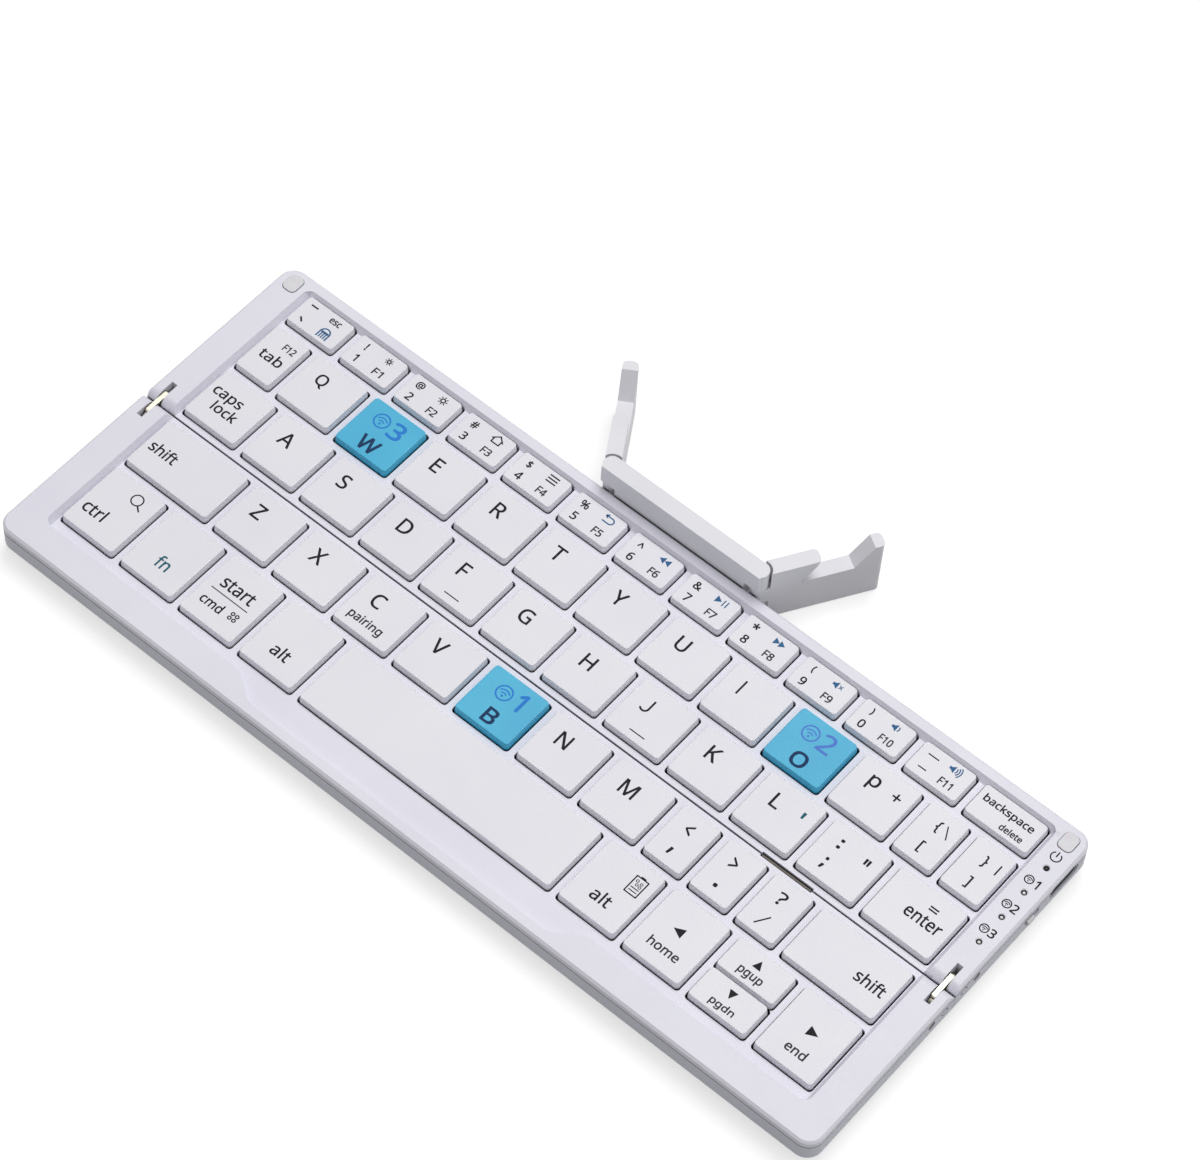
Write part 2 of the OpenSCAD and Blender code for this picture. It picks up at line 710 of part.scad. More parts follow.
module power_switch_knob()
    color([0.93, 0.93, 0.94]) rear()
        translate([knob_inner, switch_y - switch_slot / 2 + 0.2, switch_z - knob_h / 2])
            cube([side_x + knob_out - knob_inner, knob_l, knob_h]);

module status_led_lenses()
    color([0.95, 0.95, 0.9]) rear()
        for (y = led_places) {
            post(led_x, y, rim_bottom - 0.25, rim_top - 0.1, led_r);
            post(led_x, y, rim_bottom - 0.25, rim_bottom, led_r + 0.35);
        }

module battery()
    color([0.75, 0.77, 0.8]) front()
        translate([-battery_l / 2, front_inner_far + 0.4, floor_top])
            cube([battery_l, front_depth - wall - 0.3 - front_inner_far - 0.4, battery_t]);

// Flat cable between the two membranes, with a loop that stands up in the fold.
loop_half = 0.42;
module flex_cable()
    color([0.62, 0.58, 0.54]) rear() {
        t = 0.15;
        tail = seam_y + wall + 1.3;
        top = deck_top - 0.35;
        along_x(flex_x, flex_x + flex_w) difference() {
            union() {
                translate([-tail, sheet_top]) square([2 * tail, t]);
                translate([-loop_half, sheet_top]) square([2 * loop_half, top - loop_half - sheet_top]);
                translate([0, top - loop_half]) circle(loop_half, $fn = small_fn);
            }
            translate([-loop_half + t, sheet_top - over])
                square([2 * (loop_half - t), top - loop_half - sheet_top + over]);
            translate([0, top - loop_half]) circle(loop_half - t, $fn = small_fn);
        }
    }

// ---------------------------------------------------------------- hinge
// Seen from the side: round ears on the pins, and a bridge that rises nearly to the rims.
bridge_h = slot_half - pivot_y - 0.2;
bridge_far = pivot_y + 0.3;
bridge_r = 0.5;
module link_shape() {
    translate([-pivot_y, -link_r]) square([2 * pivot_y, 2 * link_r]);
    translate([-bridge_far, 0]) square([2 * bridge_far, bridge_h - bridge_r]);
    translate([bridge_r - bridge_far, 0]) square([2 * (bridge_far - bridge_r), bridge_h]);
    for (s = [-1, 1]) {
        translate([s * pivot_y, 0]) circle(link_r, $fn = round_fn);
        translate([s * (bridge_far - bridge_r), bridge_h - bridge_r]) circle(bridge_r, $fn = small_fn);
    }
}

module hinge_links()
    color(steel) rear() both_sides() difference() {
        translate([link_x - link_t / 2, 0, pivot_z]) rotate([90, 0, 90])
            linear_extrude(link_t) link_shape();
        for (s = [-1, 1])
            rod(link_x - link_t, link_x + link_t, s * pivot_y, pivot_z, pivot_r + pin_clear);
    }

module hinge_pins()
    both_sides() {
        rod(block_x + 0.5, side_x - wall + 0.3, pivot_y, pivot_z, pivot_r);
        rod(block_x + 0.5, side_x - 0.15, anchor_y, anchor_z, anchor_r);
    }

module rear_hinge_pins() color(steel) rear() hinge_pins();
module front_hinge_pins() color(steel) front() hinge_pins();

// ---------------------------------------------------------------- phone stand
// One end of the bar: round behind the pin, square in front of it.
module bar_end(z0, z1) {
    post(pin_x, pin_y, z0, z1, bar_t / 2, round_fn);
    translate([pin_x - bar_t, bar_front, z0]) cube([bar_t + bar_corner, bar_t / 2, z1 - z0]);
}

module stand_bar()
    color(body_white) rear() difference() {
        union() {
            translate([-pin_x, bar_front, knuckle_high + knuckle_gap])
                cube([wing_span, bar_t, folded_top - knuckle_high - knuckle_gap]);
            translate([-pin_x, bar_front, foot_h])
                cube([wing_span, bar_t, knuckle_low - knuckle_gap - foot_h]);
            translate([-window_x, bar_front, foot_h])
                cube([2 * window_x, bar_t, folded_top - foot_h]);
            both_sides() {
                bar_end(knuckle_high + knuckle_gap, folded_top);
                bar_end(foot_h, knuckle_low - knuckle_gap);
            }
        }
        both_sides() post(pin_x, pin_y, foot_h + 0.6, folded_top - 1, wing_pin_r + 0.01);
        for (s = [-1, 1])
            translate([s * stand_screw_x, rear_depth - over, stand_screw_z]) rotate([-90, 0, 0])
                cylinder(h = over + stand_screw_grip + 0.1, r = stand_screw_r + 0.02, $fn = small_fn);
    }

module stand_wing_pins()
    color(steel) rear() both_sides()
        post(pin_x, pin_y, foot_h + 0.7, folded_top - 1.1, wing_pin_r);

// A wing lies along +X here, with its pin on the Z axis.
module wing_plan(length, z0, z1)
    translate([0, 0, z0]) linear_extrude(z1 - z0) {
        translate([0, -wing_t / 2]) square([length - wing_end_r, wing_t]);
        translate([0, -wing_t / 2 + wing_end_r]) square([length, wing_t - 2 * wing_end_r]);
        for (s = [-1, 1])
            translate([length - wing_end_r, s * (wing_t / 2 - wing_end_r)])
                circle(wing_end_r, $fn = small_fn);
    }

// Side view of a wing: a hook over the phone's lower edge, a ledge, and a rest for its back.
module wing_profile()
    polygon([[0, wing_low], [wing_l + over, wing_low], [wing_l + over, folded_top],
        [rest_u + rest_run, folded_top], [rest_u, ledge_z], [hook_u, ledge_z],
        [hook_tip, folded_top], [0, folded_top]]);

module wing()
    difference() {
        union() {
            intersection() {
                translate([0, wing_t / 2 + over, 0]) rotate([90, 0, 0])
                    linear_extrude(wing_t + 2 * over) wing_profile();
                union() {
                    wing_plan(wing_l, wing_low, ledge_z);
                    wing_plan(hook_tip, ledge_z - over, folded_top);
                    difference() {
                        wing_plan(wing_l, ledge_z - over, folded_top);
                        translate([-over, -wing_t, 0]) cube([rest_u, 2 * wing_t, 2 * folded_top]);
                    }
                }
            }
            post(0, 0, knuckle_low, knuckle_high, wing_knuckle_r, round_fn);
        }
        post(0, 0, -over, knuckle_low, root_r, round_fn);
        post(0, 0, knuckle_high, folded_top + over, root_r, round_fn);
        post(0, 0, 0, folded_top, wing_pin_r + pin_clear);
    }

module stand_wing_right()
    color(body_white) rear() translate([pin_x, pin_y, 0]) rotate([0, 0, 90 - wing_angle]) wing();

module stand_wing_left()
    color(body_white) rear() mirror([1, 0, 0]) translate([pin_x, pin_y, 0])
        rotate([0, 0, 90 - wing_angle]) wing();

module stand_screws()
    color(steel) rear() for (s = [-1, 1])
        translate([s * stand_screw_x, rear_depth - wall, stand_screw_z]) rotate([-90, 0, 0]) {
            cylinder(h = wall + stand_screw_grip, r = stand_screw_r, $fn = small_fn);
            translate([0, 0, -0.7]) cylinder(h = 0.7, r = stand_screw_r + 0.3, $fn = small_fn);
        }

// ---------------------------------------------------------------- feet, pads, magnets, screws
module corner_pads()
    color(soft_grey) rear() both_sides()
        translate([0, 0, rim_top - pad_seat]) linear_extrude(pad_seat + pad_out)
            rounded_rect(pad_x - pad_w / 2, pad_y - pad_d / 2, pad_w, pad_d, pad_r);

module feet(depth)
    both_sides() linear_extrude(foot_h + foot_seat)
        rounded_rect(foot_x - foot_l / 2, depth - foot_inset - foot_w / 2, foot_l, foot_w, foot_r);

module rear_feet() color([0.7, 0.7, 0.72]) rear() feet(rear_depth);
module front_feet() color([0.7, 0.7, 0.72]) front() feet(front_depth);

module magnets() both_sides() post(magnet_x, magnet_y, floor_top, rim_bottom - 0.2, magnet_r);
module rear_magnets() color("silver") rear() magnets();
module front_magnets() color("silver") front() magnets();

module screws(bosses)
    for (b = bosses) {
        post(b[0], b[1], head_z, head_z + head_t, screw_head_r);
        post(b[0], b[1], head_z + head_t, screw_tip, screw_r);
    }

module rear_screws() color(steel) rear() screws(rear_bosses);
module front_screws() color(steel) front() screws(front_bosses);

// ---------------------------------------------------------------- keys
module keycap(k) {
    difference() {
        drafted_block(k[0], k[1], k[2], k[3], key_bottom, key_top, key_draft, key_r);
        translate([k[0] + key_wall, k[1] + key_wall, key_bottom - over])
            cube([k[2] - 2 * key_wall, k[3] - 2 * key_wall, key_top - key_skin - key_bottom + over]);
    }
    for (p = plungers(k)) post(p[0], p[1], plunger_bottom, key_top - key_skin / 2, plunger_r);
}

module rear_keycaps(keys, shade = key_white) color(shade) rear() for (k = keys) keycap(k);
module front_keycaps(keys, shade = key_white) color(shade) front() for (k = keys) keycap(k);

module key_escape() rear_keycaps([k_escape]);
module number_keys() rear_keycaps(k_numbers);
module key_backspace() rear_keycaps([k_backspace]);
module key_tab() rear_keycaps([k_tab]);
module upper_row_keys() rear_keycaps(concat(except(k_upper, [w_place, o_place]), k_brackets));
module key_w() rear_keycaps([k_upper[w_place]], accent_blue);
module key_o() rear_keycaps([k_upper[o_place]], accent_blue);
module key_caps_lock() rear_keycaps([k_caps]);
module home_row_keys() rear_keycaps(k_home);
module key_enter() rear_keycaps([k_enter]);
module key_shift_left() front_keycaps([k_shift_left]);
module lower_row_keys() front_keycaps(except(k_lower, [b_place]));
module key_b() front_keycaps([k_lower[b_place]], accent_blue);
module punctuation_keys() front_keycaps(k_punctuation);
module key_shift_right() front_keycaps([k_shift_right]);
module key_ctrl() front_keycaps([k_left_block[0]]);
module key_fn() front_keycaps([k_left_block[1]]);
module key_start() front_keycaps([k_left_block[2]]);
module key_alt_left() front_keycaps([k_left_block[3]]);
module key_space() front_keycaps([k_space]);
module key_alt_right() front_keycaps([k_right_block[0]]);
module key_left() front_keycaps([k_right_block[1]]);
module key_up() front_keycaps([k_up]);
module key_down() front_keycaps([k_down]);
module key_right() front_keycaps([k_right_block[3]]);

rear_top_frame();
rear_bottom_cover();
rear_base_plate();
rear_membrane();
rear_rubber_domes();
rear_scissor_frames();
main_board();
usb_port_shell();
usb_port_tongue();
power_switch_body();
power_switch_knob();
status_led_lenses();
rear_magnets();
corner_pads();
rear_feet();
rear_screws();
rear_hinge_pins();
stand_bar();
stand_screws();
stand_wing_left();
stand_wing_right();
stand_wing_pins();
hinge_links();
flex_cable();
front_top_frame();
front_bottom_cover();
front_base_plate();
front_membrane();
front_rubber_domes();
front_scissor_frames();
battery();
front_magnets();
front_feet();
front_screws();
front_hinge_pins();
key_escape();
number_keys();
key_backspace();
key_tab();
upper_row_keys();
key_w();
key_o();
key_caps_lock();
home_row_keys();
key_enter();
key_shift_left();
lower_row_keys();
key_b();
punctuation_keys();
key_shift_right();
key_ctrl();
key_fn();
key_start();
key_alt_left();
key_space();
key_alt_right();
key_left();
key_up();
key_down();
key_right();
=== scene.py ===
"""Folding keyboard with a phone stand: the surfaces that show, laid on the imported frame.

Written in millimetres in the part's frame: +X right, +Y back, +Z up, table at z = 0.
"""
import json
import math

import bmesh
import bpy
from mathutils import Matrix, Vector


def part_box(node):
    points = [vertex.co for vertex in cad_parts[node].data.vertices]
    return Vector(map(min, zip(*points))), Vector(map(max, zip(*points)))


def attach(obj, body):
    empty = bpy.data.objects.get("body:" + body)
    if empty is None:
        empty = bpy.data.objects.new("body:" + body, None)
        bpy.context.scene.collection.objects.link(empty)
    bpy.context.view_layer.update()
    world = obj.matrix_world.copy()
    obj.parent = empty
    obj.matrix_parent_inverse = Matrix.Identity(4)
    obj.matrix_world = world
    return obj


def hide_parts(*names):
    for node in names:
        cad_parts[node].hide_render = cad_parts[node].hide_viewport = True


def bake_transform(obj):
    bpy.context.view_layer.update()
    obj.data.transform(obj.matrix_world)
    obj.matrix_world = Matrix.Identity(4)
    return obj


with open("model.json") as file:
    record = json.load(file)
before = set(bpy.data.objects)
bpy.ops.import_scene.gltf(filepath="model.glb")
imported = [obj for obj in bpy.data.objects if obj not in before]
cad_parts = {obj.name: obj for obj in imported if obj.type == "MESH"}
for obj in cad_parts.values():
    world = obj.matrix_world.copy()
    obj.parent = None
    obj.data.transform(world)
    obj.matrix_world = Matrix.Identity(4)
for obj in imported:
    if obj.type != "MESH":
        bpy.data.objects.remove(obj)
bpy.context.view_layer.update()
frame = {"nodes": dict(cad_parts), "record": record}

MM = 0.001
BODY_OF = {node: body for body, nodes in frame["record"]["behaviour"]["bodies"].items() for node in nodes}
SLOT_OF = {part["node"]: part["material_slot"] for part in frame["record"]["subparts"]}


# ---------------------------------------------------------------- sizes taken from the frame
def low_corner(node):
    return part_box(node)[0] / MM


def high_corner(node):
    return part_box(node)[1] / MM


KEY_TOP = high_corner("key_space").z
RIM_TOP = high_corner("rear_top_frame").z
JOINT_Z = high_corner("rear_bottom_cover").z
SIDE_X = high_corner("rear_top_frame").x
SEAM_Y = (low_corner("rear_top_frame").y + high_corner("front_top_frame").y) / 2
RECESS_DEPTH = 1.7
DECK_TOP = RIM_TOP - RECESS_DEPTH


# ---------------------------------------------------------------- colours
def ink(code):
    """A colour written as it looks, as the linear values that a shader wants."""
    parts = [int(code[i:i + 2], 16) / 255 for i in (0, 2, 4)]
    return [p / 12.92 if p <= 0.04045 else ((p + 0.055) / 1.055) ** 2.4 for p in parts] + [1.0]


BODY_WHITE, BODY_SHADE = ink("EBEAF4"), ink("E6E5F0")
COVER_WHITE, COVER_SHADE = ink("DEDFEA"), ink("D8D9E5")
KEY_WHITE, KEY_SHADE = ink("EEEDF3"), ink("EAE9F0")
ACCENT_BLUE, ACCENT_DEEP = ink("49BDE2"), ink("3DB0D9")
STAND_WHITE, STAND_SHADE = ink("ECECF1"), ink("E6E6EC")


# ---------------------------------------------------------------- finishes
def shader(name):
    """A new material, its node list, its links and its principled shader."""
    material = bpy.data.materials.new(name)
    material.use_nodes = True
    nodes, links = material.node_tree.nodes, material.node_tree.links
    return material, nodes, links, nodes["Principled BSDF"]


def noise(nodes, links, scale, detail=2.0, stretch=None):
    """Noise on the object's own coordinates, stretched if asked."""
    place = nodes.new("ShaderNodeTexCoord").outputs["Object"]
    if stretch:
        turn = nodes.new("ShaderNodeMapping")
        turn.inputs["Scale"].default_value = stretch
        links.new(place, turn.inputs["Vector"])
        place = turn.outputs["Vector"]
    field = nodes.new("ShaderNodeTexNoise")
    field.inputs["Scale"].default_value = scale
    field.inputs["Detail"].default_value = detail
    links.new(place, field.inputs["Vector"])
    return field.outputs["Fac"]


def tinted(nodes, links, factor, first, second):
    blend = nodes.new("ShaderNodeMix")
    blend.data_type = "RGBA"
    links.new(factor, blend.inputs["Factor"])
    blend.inputs["A"].default_value = first
    blend.inputs["B"].default_value = second
    return blend.outputs["Result"]


def ranged(nodes, links, factor, low, high, near=0.3, far=0.7):
    span = nodes.new("ShaderNodeMapRange")
    links.new(factor, span.inputs["Value"])
    span.inputs["From Min"].default_value = near
    span.inputs["From Max"].default_value = far
    span.inputs["To Min"].default_value = low
    span.inputs["To Max"].default_value = high
    return span.outputs["Result"]


def rough_skin(nodes, links, principled, height, strength, distance):
    bump = nodes.new("ShaderNodeBump")
    bump.inputs["Strength"].default_value = strength
    bump.inputs["Distance"].default_value = distance * MM
    links.new(height, bump.inputs["Height"])
    links.new(bump.outputs["Normal"], principled.inputs["Normal"])


# Painted shade: an ambient occlusion node darkens the base colour in gaps and corners.
CREVICE_REACH = 0.7        # gaps and corners narrower than this look darker
CREVICE_DEEPEST = 0.02     # what is left of the colour in the deepest gap
CREVICE_SHUT, CREVICE_OPEN = 0.16, 0.7


def painted_crevice_shade(nodes, links, colour):
    """The colour with painted shade: darkened in gaps and corners, where shade falls."""
    open_sky = nodes.new("ShaderNodeAmbientOcclusion")
    open_sky.samples = 8
    open_sky.inputs["Distance"].default_value = CREVICE_REACH * MM
    shade = ranged(nodes, links, open_sky.outputs["AO"], CREVICE_DEEPEST, 1.0, CREVICE_SHUT, CREVICE_OPEN)
    darker = nodes.new("ShaderNodeMix")
    darker.data_type = "RGBA"
    darker.blend_type = "MULTIPLY"
    darker.inputs["Factor"].default_value = 1.0
    links.new(colour, darker.inputs["A"])
    links.new(shade, darker.inputs["B"])
    return darker.outputs["Result"]


def painted(nodes, links, principled, factor, light, dark):
    """Two tones mixed by a factor, with painted shade in crevices, as the base colour."""
    colour = tinted(nodes, links, factor, light, dark)
    links.new(painted_crevice_shade(nodes, links, colour), principled.inputs["Base Color"])


def moulded(name, light, dark, roughness, spark=0.12, blotch=60, spark_scale=2600):
    """Moulded plastic: faint flow clouds in the colour, and a fine spark-eroded skin."""
    material, nodes, links, principled = shader(name)
    cloud = ranged(nodes, links, noise(nodes, links, blotch), 0, 1)
    painted(nodes, links, principled, cloud, light, dark)
    grain = noise(nodes, links, spark_scale, 3.0)
    dullness = ranged(nodes, links, grain, roughness - 0.05, roughness + 0.06)
    links.new(dullness, principled.inputs["Roughness"])
    rough_skin(nodes, links, principled, grain, spark, 0.02)
    principled.inputs["Specular IOR Level"].default_value = 0.4
    return material


def brushed(name, light, dark, roughness, stretch):
    """Metal with fine parallel scratches."""
    material, nodes, links, principled = shader(name)
    scratch = noise(nodes, links, 900, 4.0, stretch)
    painted(nodes, links, principled, scratch, light, dark)
    dullness = ranged(nodes, links, scratch, roughness - 0.08, roughness + 0.12)
    links.new(dullness, principled.inputs["Roughness"])
    rough_skin(nodes, links, principled, scratch, 0.15, 0.01)
    principled.inputs["Metallic"].default_value = 1.0
    return material


THIN_INK = 1.18            # how much lighter the ink is where its film is thin


def printed(name, code):
    """Printed ink: a slightly uneven film."""
    material, nodes, links, principled = shader(name)
    cloud = noise(nodes, links, 1800, 2.0)
    full = ink(code)
    thin = [min(1.0, THIN_INK * c) for c in full[:3]] + [1.0]
    film = tinted(nodes, links, ranged(nodes, links, cloud, 0, 1), full, thin)
    links.new(film, principled.inputs["Base Color"])
    links.new(ranged(nodes, links, cloud, 0.5, 0.65), principled.inputs["Roughness"])
    principled.inputs["Specular IOR Level"].default_value = 0.15
    return material


def rubbery(name, light, dark, roughness, clear=0.0):
    """Soft moulded rubber or gel."""
    material, nodes, links, principled = shader(name)
    cloud = ranged(nodes, links, noise(nodes, links, 400, 3.0), 0, 1)
    painted(nodes, links, principled, cloud, light, dark)
    rough_skin(nodes, links, principled, noise(nodes, links, 3200, 2.0), 0.2, 0.02)
    principled.inputs["Roughness"].default_value = roughness
    principled.inputs["Subsurface Weight"].default_value = clear
    principled.inputs["Subsurface Scale"].default_value = MM
    return material


def lens_plastic():
    """Milky clear plastic over a light."""
    material, nodes, links, principled = shader("lens_plastic")
    cloud = noise(nodes, links, 1500, 2.0)
    links.new(tinted(nodes, links, cloud, ink("F4F5F2"), ink("E2E6E6")), principled.inputs["Base Color"])
    principled.inputs["Roughness"].default_value = 0.12
    principled.inputs["Coat Weight"].default_value = 0.6
    return material


FINISH = {
    "body_shell": moulded("body_shell", BODY_WHITE, BODY_SHADE, 0.42),
    "cover_shell": moulded("cover_shell", COVER_WHITE, COVER_SHADE, 0.45),
    "stand_plastic": moulded("stand_plastic", STAND_WHITE, STAND_SHADE, 0.4),
    "keycap": moulded("keycap", KEY_WHITE, KEY_SHADE, 0.4, 0.1),
    "accent_keycap": moulded("accent_keycap", ACCENT_BLUE, ACCENT_DEEP, 0.4, 0.1),
    "base_plate_metal": brushed("base_plate_metal", ink("4A4A4C"), ink("3C3C3E"), 0.45, (1, 0.05, 1)),
    "membrane_film": rubbery("membrane_film", ink("1E1E20"), ink("262628"), 0.4),
    "dome_rubber": rubbery("dome_rubber", ink("E4E4E2"), ink("D6D6D4"), 0.55),
    "guide_plastic": moulded("guide_plastic", ink("232325"), ink("2B2B2D"), 0.45),
    "circuit_board": moulded("circuit_board", ink("1F5E3A"), ink("174D2F"), 0.35, 0.05, 300),
    "port_metal": brushed("port_metal", ink("9A9B9E"), ink("838488"), 0.32, (1, 0.1, 1)),
    "port_plastic": moulded("port_plastic", ink("232326"), ink("2C2C30"), 0.4),
    "switch_plastic": moulded("switch_plastic", ink("E6E6E8"), ink("DCDCDF"), 0.4),
    "lens_plastic": lens_plastic(),
    "magnet_metal": brushed("magnet_metal", ink("C4C5C8"), ink("AEB0B4"), 0.3, (1, 1, 0.1)),
    "pad_rubber": rubbery("pad_rubber", ink("E6E5E8"), ink("DCDBDF"), 0.5, 0.2),
    "foot_rubber": rubbery("foot_rubber", ink("C6C7CB"), ink("B9BAC0"), 0.7),
    "pin_steel": brushed("pin_steel", ink("6A6864"), ink("4C4A47"), 0.4, (1, 0.3, 1)),
    "fastener_steel": brushed("fastener_steel", ink("C9C8C4"), ink("A9A8A5"), 0.35, (1, 0.3, 1)),
    "link_steel": brushed("link_steel", ink("D9D5C2"), ink("BEBAA7"), 0.38, (1, 0.06, 1)),
    "cable_film": rubbery("cable_film", ink("7D756C"), ink("6A635C"), 0.45),
    "battery_wrap": brushed("battery_wrap", ink("BFC3C9"), ink("A6ABB3"), 0.4, (0.1, 1, 1)),
}
OWN_FINISH = {
    "rear_bottom_cover": "cover_shell",
    "front_bottom_cover": "cover_shell",
    "power_switch_body": "port_plastic",
    "rear_hinge_pins": "pin_steel",
    "front_hinge_pins": "pin_steel",
}
INKS = {
    "dark": printed("ink_dark", "0F1013"),
    "pale": printed("ink_pale", "2D2F35"),
    "blue": printed("ink_blue", "34648F"),
    "teal": printed("ink_teal", "1E5F6C"),
    "navy": printed("ink_navy", "17365C"),
    "deep": printed("ink_deep_blue", "2F7FD2"),
    "soft": printed("ink_soft_blue", "5580D2"),
}
INK_ORDER = list(INKS)


def finish_of(node):
    """The finish of a CAD node: its own, or else the one of its slot."""
    return FINISH[OWN_FINISH.get(node, SLOT_OF[node])]


# ---------------------------------------------------------------- meshes
def mesh_of(bm, name, sharp=35.0):
    """A bmesh in millimetres as a finished mesh, creased where it turns more than sharp degrees."""
    for face in bm.faces:
        face.smooth = True
    for edge in bm.edges:
        edge.smooth = edge.calc_face_angle(0.0) < math.radians(sharp)
    mesh = bpy.data.meshes.new(name)
    bm.to_mesh(mesh)
    bm.free()
    mesh.transform(Matrix.Scale(MM, 4))
    return mesh


def piece(name, mesh, finishes, body, stands_for=()):
    """Puts a finished mesh in the scene as a piece of the object that rides on one body."""
    obj = bpy.data.objects.new(name, mesh)
    bpy.context.scene.collection.objects.link(obj)
    for finish in finishes:
        mesh.materials.append(finish)
    if stands_for:
        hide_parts(*stands_for)
    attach(obj, body)
    return obj


def merged(node):
    """A copy of a CAD node in millimetres, with its loose triangles joined."""
    bm = bmesh.new()
    bm.from_mesh(frame["nodes"][node].data)
    bmesh.ops.transform(bm, matrix=Matrix.Scale(1 / MM, 4), verts=bm.verts)
    bmesh.ops.remove_doubles(bm, verts=bm.verts, dist=0.0005)
    return bm


def islands(bm):
    """The vertices of each separate solid."""
    seen, groups = set(), []
    for start in bm.verts:
        if start in seen:
            continue
        group, front = [], [start]
        seen.add(start)
        while front:
            vert = front.pop()
            group.append(vert)
            for edge in vert.link_edges:
                other = edge.other_vert(vert)
                if other not in seen:
                    seen.add(other)
                    front.append(other)
        groups.append(group)
    return groups


def solids(node):
    """The lowest and highest corner of each solid of a CAD node, in millimetres, from left to right."""
    bm = merged(node)
    boxes = []
    for group in islands(bm):
        places = [v.co for v in group]
        boxes.append((Vector(map(min, zip(*places))), Vector(map(max, zip(*places)))))
    bm.free()
    return sorted(boxes, key=lambda box: round(box[0].x, 3))


def turn_of(edge):
    """Degrees that the surface turns at an edge."""
    return math.degrees(edge.calc_face_angle(0.0))


def round_off(bm, radius, chosen, steps=3):
    """Rounds the chosen edges of a solid."""
    edges = [edge for edge in bm.edges if len(edge.link_faces) == 2 and edge.is_convex and chosen(edge)]
    if edges:
        bmesh.ops.bevel(
            bm, geom=edges, offset=radius, offset_type="OFFSET", segments=steps, profile=0.5,
            affect="EDGES", clamp_overlap=True)


def level(edge, z):
    return all(abs(vert.co.z - z) < 0.02 for vert in edge.verts)


def baked(holder):
    """The plain mesh that an object's modifiers make of it. The object is deleted."""
    seen = holder.evaluated_get(bpy.context.evaluated_depsgraph_get())
    result = bpy.data.meshes.new_from_object(seen)
    holder.modifiers.clear()
    bpy.data.objects.remove(holder)
    return result


def evened(mesh):
    """The same mesh with its flat faces shaded flat and its narrow rounded strips shaded round."""
    holder = bpy.data.objects.new("evened", mesh)
    bpy.context.scene.collection.objects.link(holder)
    weights = holder.modifiers.new("weights", "WEIGHTED_NORMAL")
    weights.keep_sharp = True
    result = baked(holder)
    bpy.data.meshes.remove(mesh)
    return result


def soft_solid(node, rounds):
    """Stands for a CAD node with a copy whose edges are rounded, one (radius, choice) after the other."""
    bm = merged(node)
    flat = math.radians(0.6)
    bmesh.ops.dissolve_limit(bm, angle_limit=flat, verts=bm.verts, edges=bm.edges, delimit=set())
    for radius, chosen in rounds:
        round_off(bm, radius, chosen)
    mesh = evened(mesh_of(bm, node))
    return piece("soft_" + node, mesh, [finish_of(node)], BODY_OF[node], [node])


def rounded_rectangle(x0, y0, x1, y1, radius, steps=6):
    """Points round a rectangle with round corners, counter-clockwise."""
    points = []
    corners = ((x1 - radius, y0 + radius, 270), (x1 - radius, y1 - radius, 0),
               (x0 + radius, y1 - radius, 90), (x0 + radius, y0 + radius, 180))
    for cx, cy, start in corners:
        for i in range(steps + 1):
            a = math.radians(start + 90 * i / steps)
            points.append((cx + radius * math.cos(a), cy + radius * math.sin(a)))
    return points


def skinned(bm, rings, close_first=True, close_last=True):
    """Faces between rings of points that have the same count."""
    rows = [[bm.verts.new(p) for p in ring] for ring in rings]
    count = len(rows[0])
    for low, high in zip(rows, rows[1:]):
        for i in range(count):
            j = (i + 1) % count
            bm.faces.new((low[i], low[j], high[j], high[i]))
    if close_first:
        bm.faces.new(list(reversed(rows[0])))
    if close_last:
        bm.faces.new(rows[-1])


# ---------------------------------------------------------------- node trees for what repeats
def tree_with(name, sockets):
    """An empty node tree with a geometry output and the named inputs, and its group input and output."""
    tree = bpy.data.node_groups.new(name, "GeometryNodeTree")
    tree.interface.new_socket("Geometry", in_out="OUTPUT", socket_type="NodeSocketGeometry")
    for label, kind in sockets:
        tree.interface.new_socket(label, in_out="INPUT", socket_type=kind)
    return tree, tree.nodes.new("NodeGroupInput"), tree.nodes.new("NodeGroupOutput")


def finish_tree(tree, given, result, instances):
    """Instances made real and given their material."""
    real = tree.nodes.new("GeometryNodeRealizeInstances")
    paint = tree.nodes.new("GeometryNodeSetMaterial")
    tree.links.new(instances, real.inputs["Geometry"])
    tree.links.new(real.outputs["Geometry"], paint.inputs["Geometry"])
    tree.links.new(given.outputs["Finish"], paint.inputs["Material"])
    tree.links.new(paint.outputs["Geometry"], result.inputs["Geometry"])


def copies_tree():
    """A copy of one moulding at every point of a mesh."""
    tree, given, result = tree_with("copies_at_points", (
        ("Geometry", "NodeSocketGeometry"),
        ("Moulding", "NodeSocketObject"),
        ("Finish", "NodeSocketMaterial")))
    source = tree.nodes.new("GeometryNodeObjectInfo")
    place = tree.nodes.new("GeometryNodeInstanceOnPoints")
    tree.links.new(given.outputs["Moulding"], source.inputs["Object"])
    tree.links.new(given.outputs["Geometry"], place.inputs["Points"])
    tree.links.new(source.outputs["Geometry"], place.inputs["Instance"])
    finish_tree(tree, given, result, place.outputs["Instances"])
    return tree


COPIES = copies_tree()


def grown(name, tree, start, values):
    """The plain mesh that a node tree makes, with its named inputs set first."""
    holder = bpy.data.objects.new(name, start)
    bpy.context.scene.collection.objects.link(holder)
    growth = holder.modifiers.new("growth", "NODES")
    growth.node_group = tree
    for item in tree.interface.items_tree:
        if item.in_out == "INPUT" and item.name in values:
            growth[item.identifier] = values[item.name]
    return baked(holder)


def joined(meshes):
    """One bmesh in metres from several meshes, which are deleted."""
    bm = bmesh.new()
    for mesh in meshes:
        bm.from_mesh(mesh)
        bpy.data.meshes.remove(mesh)
    return bm


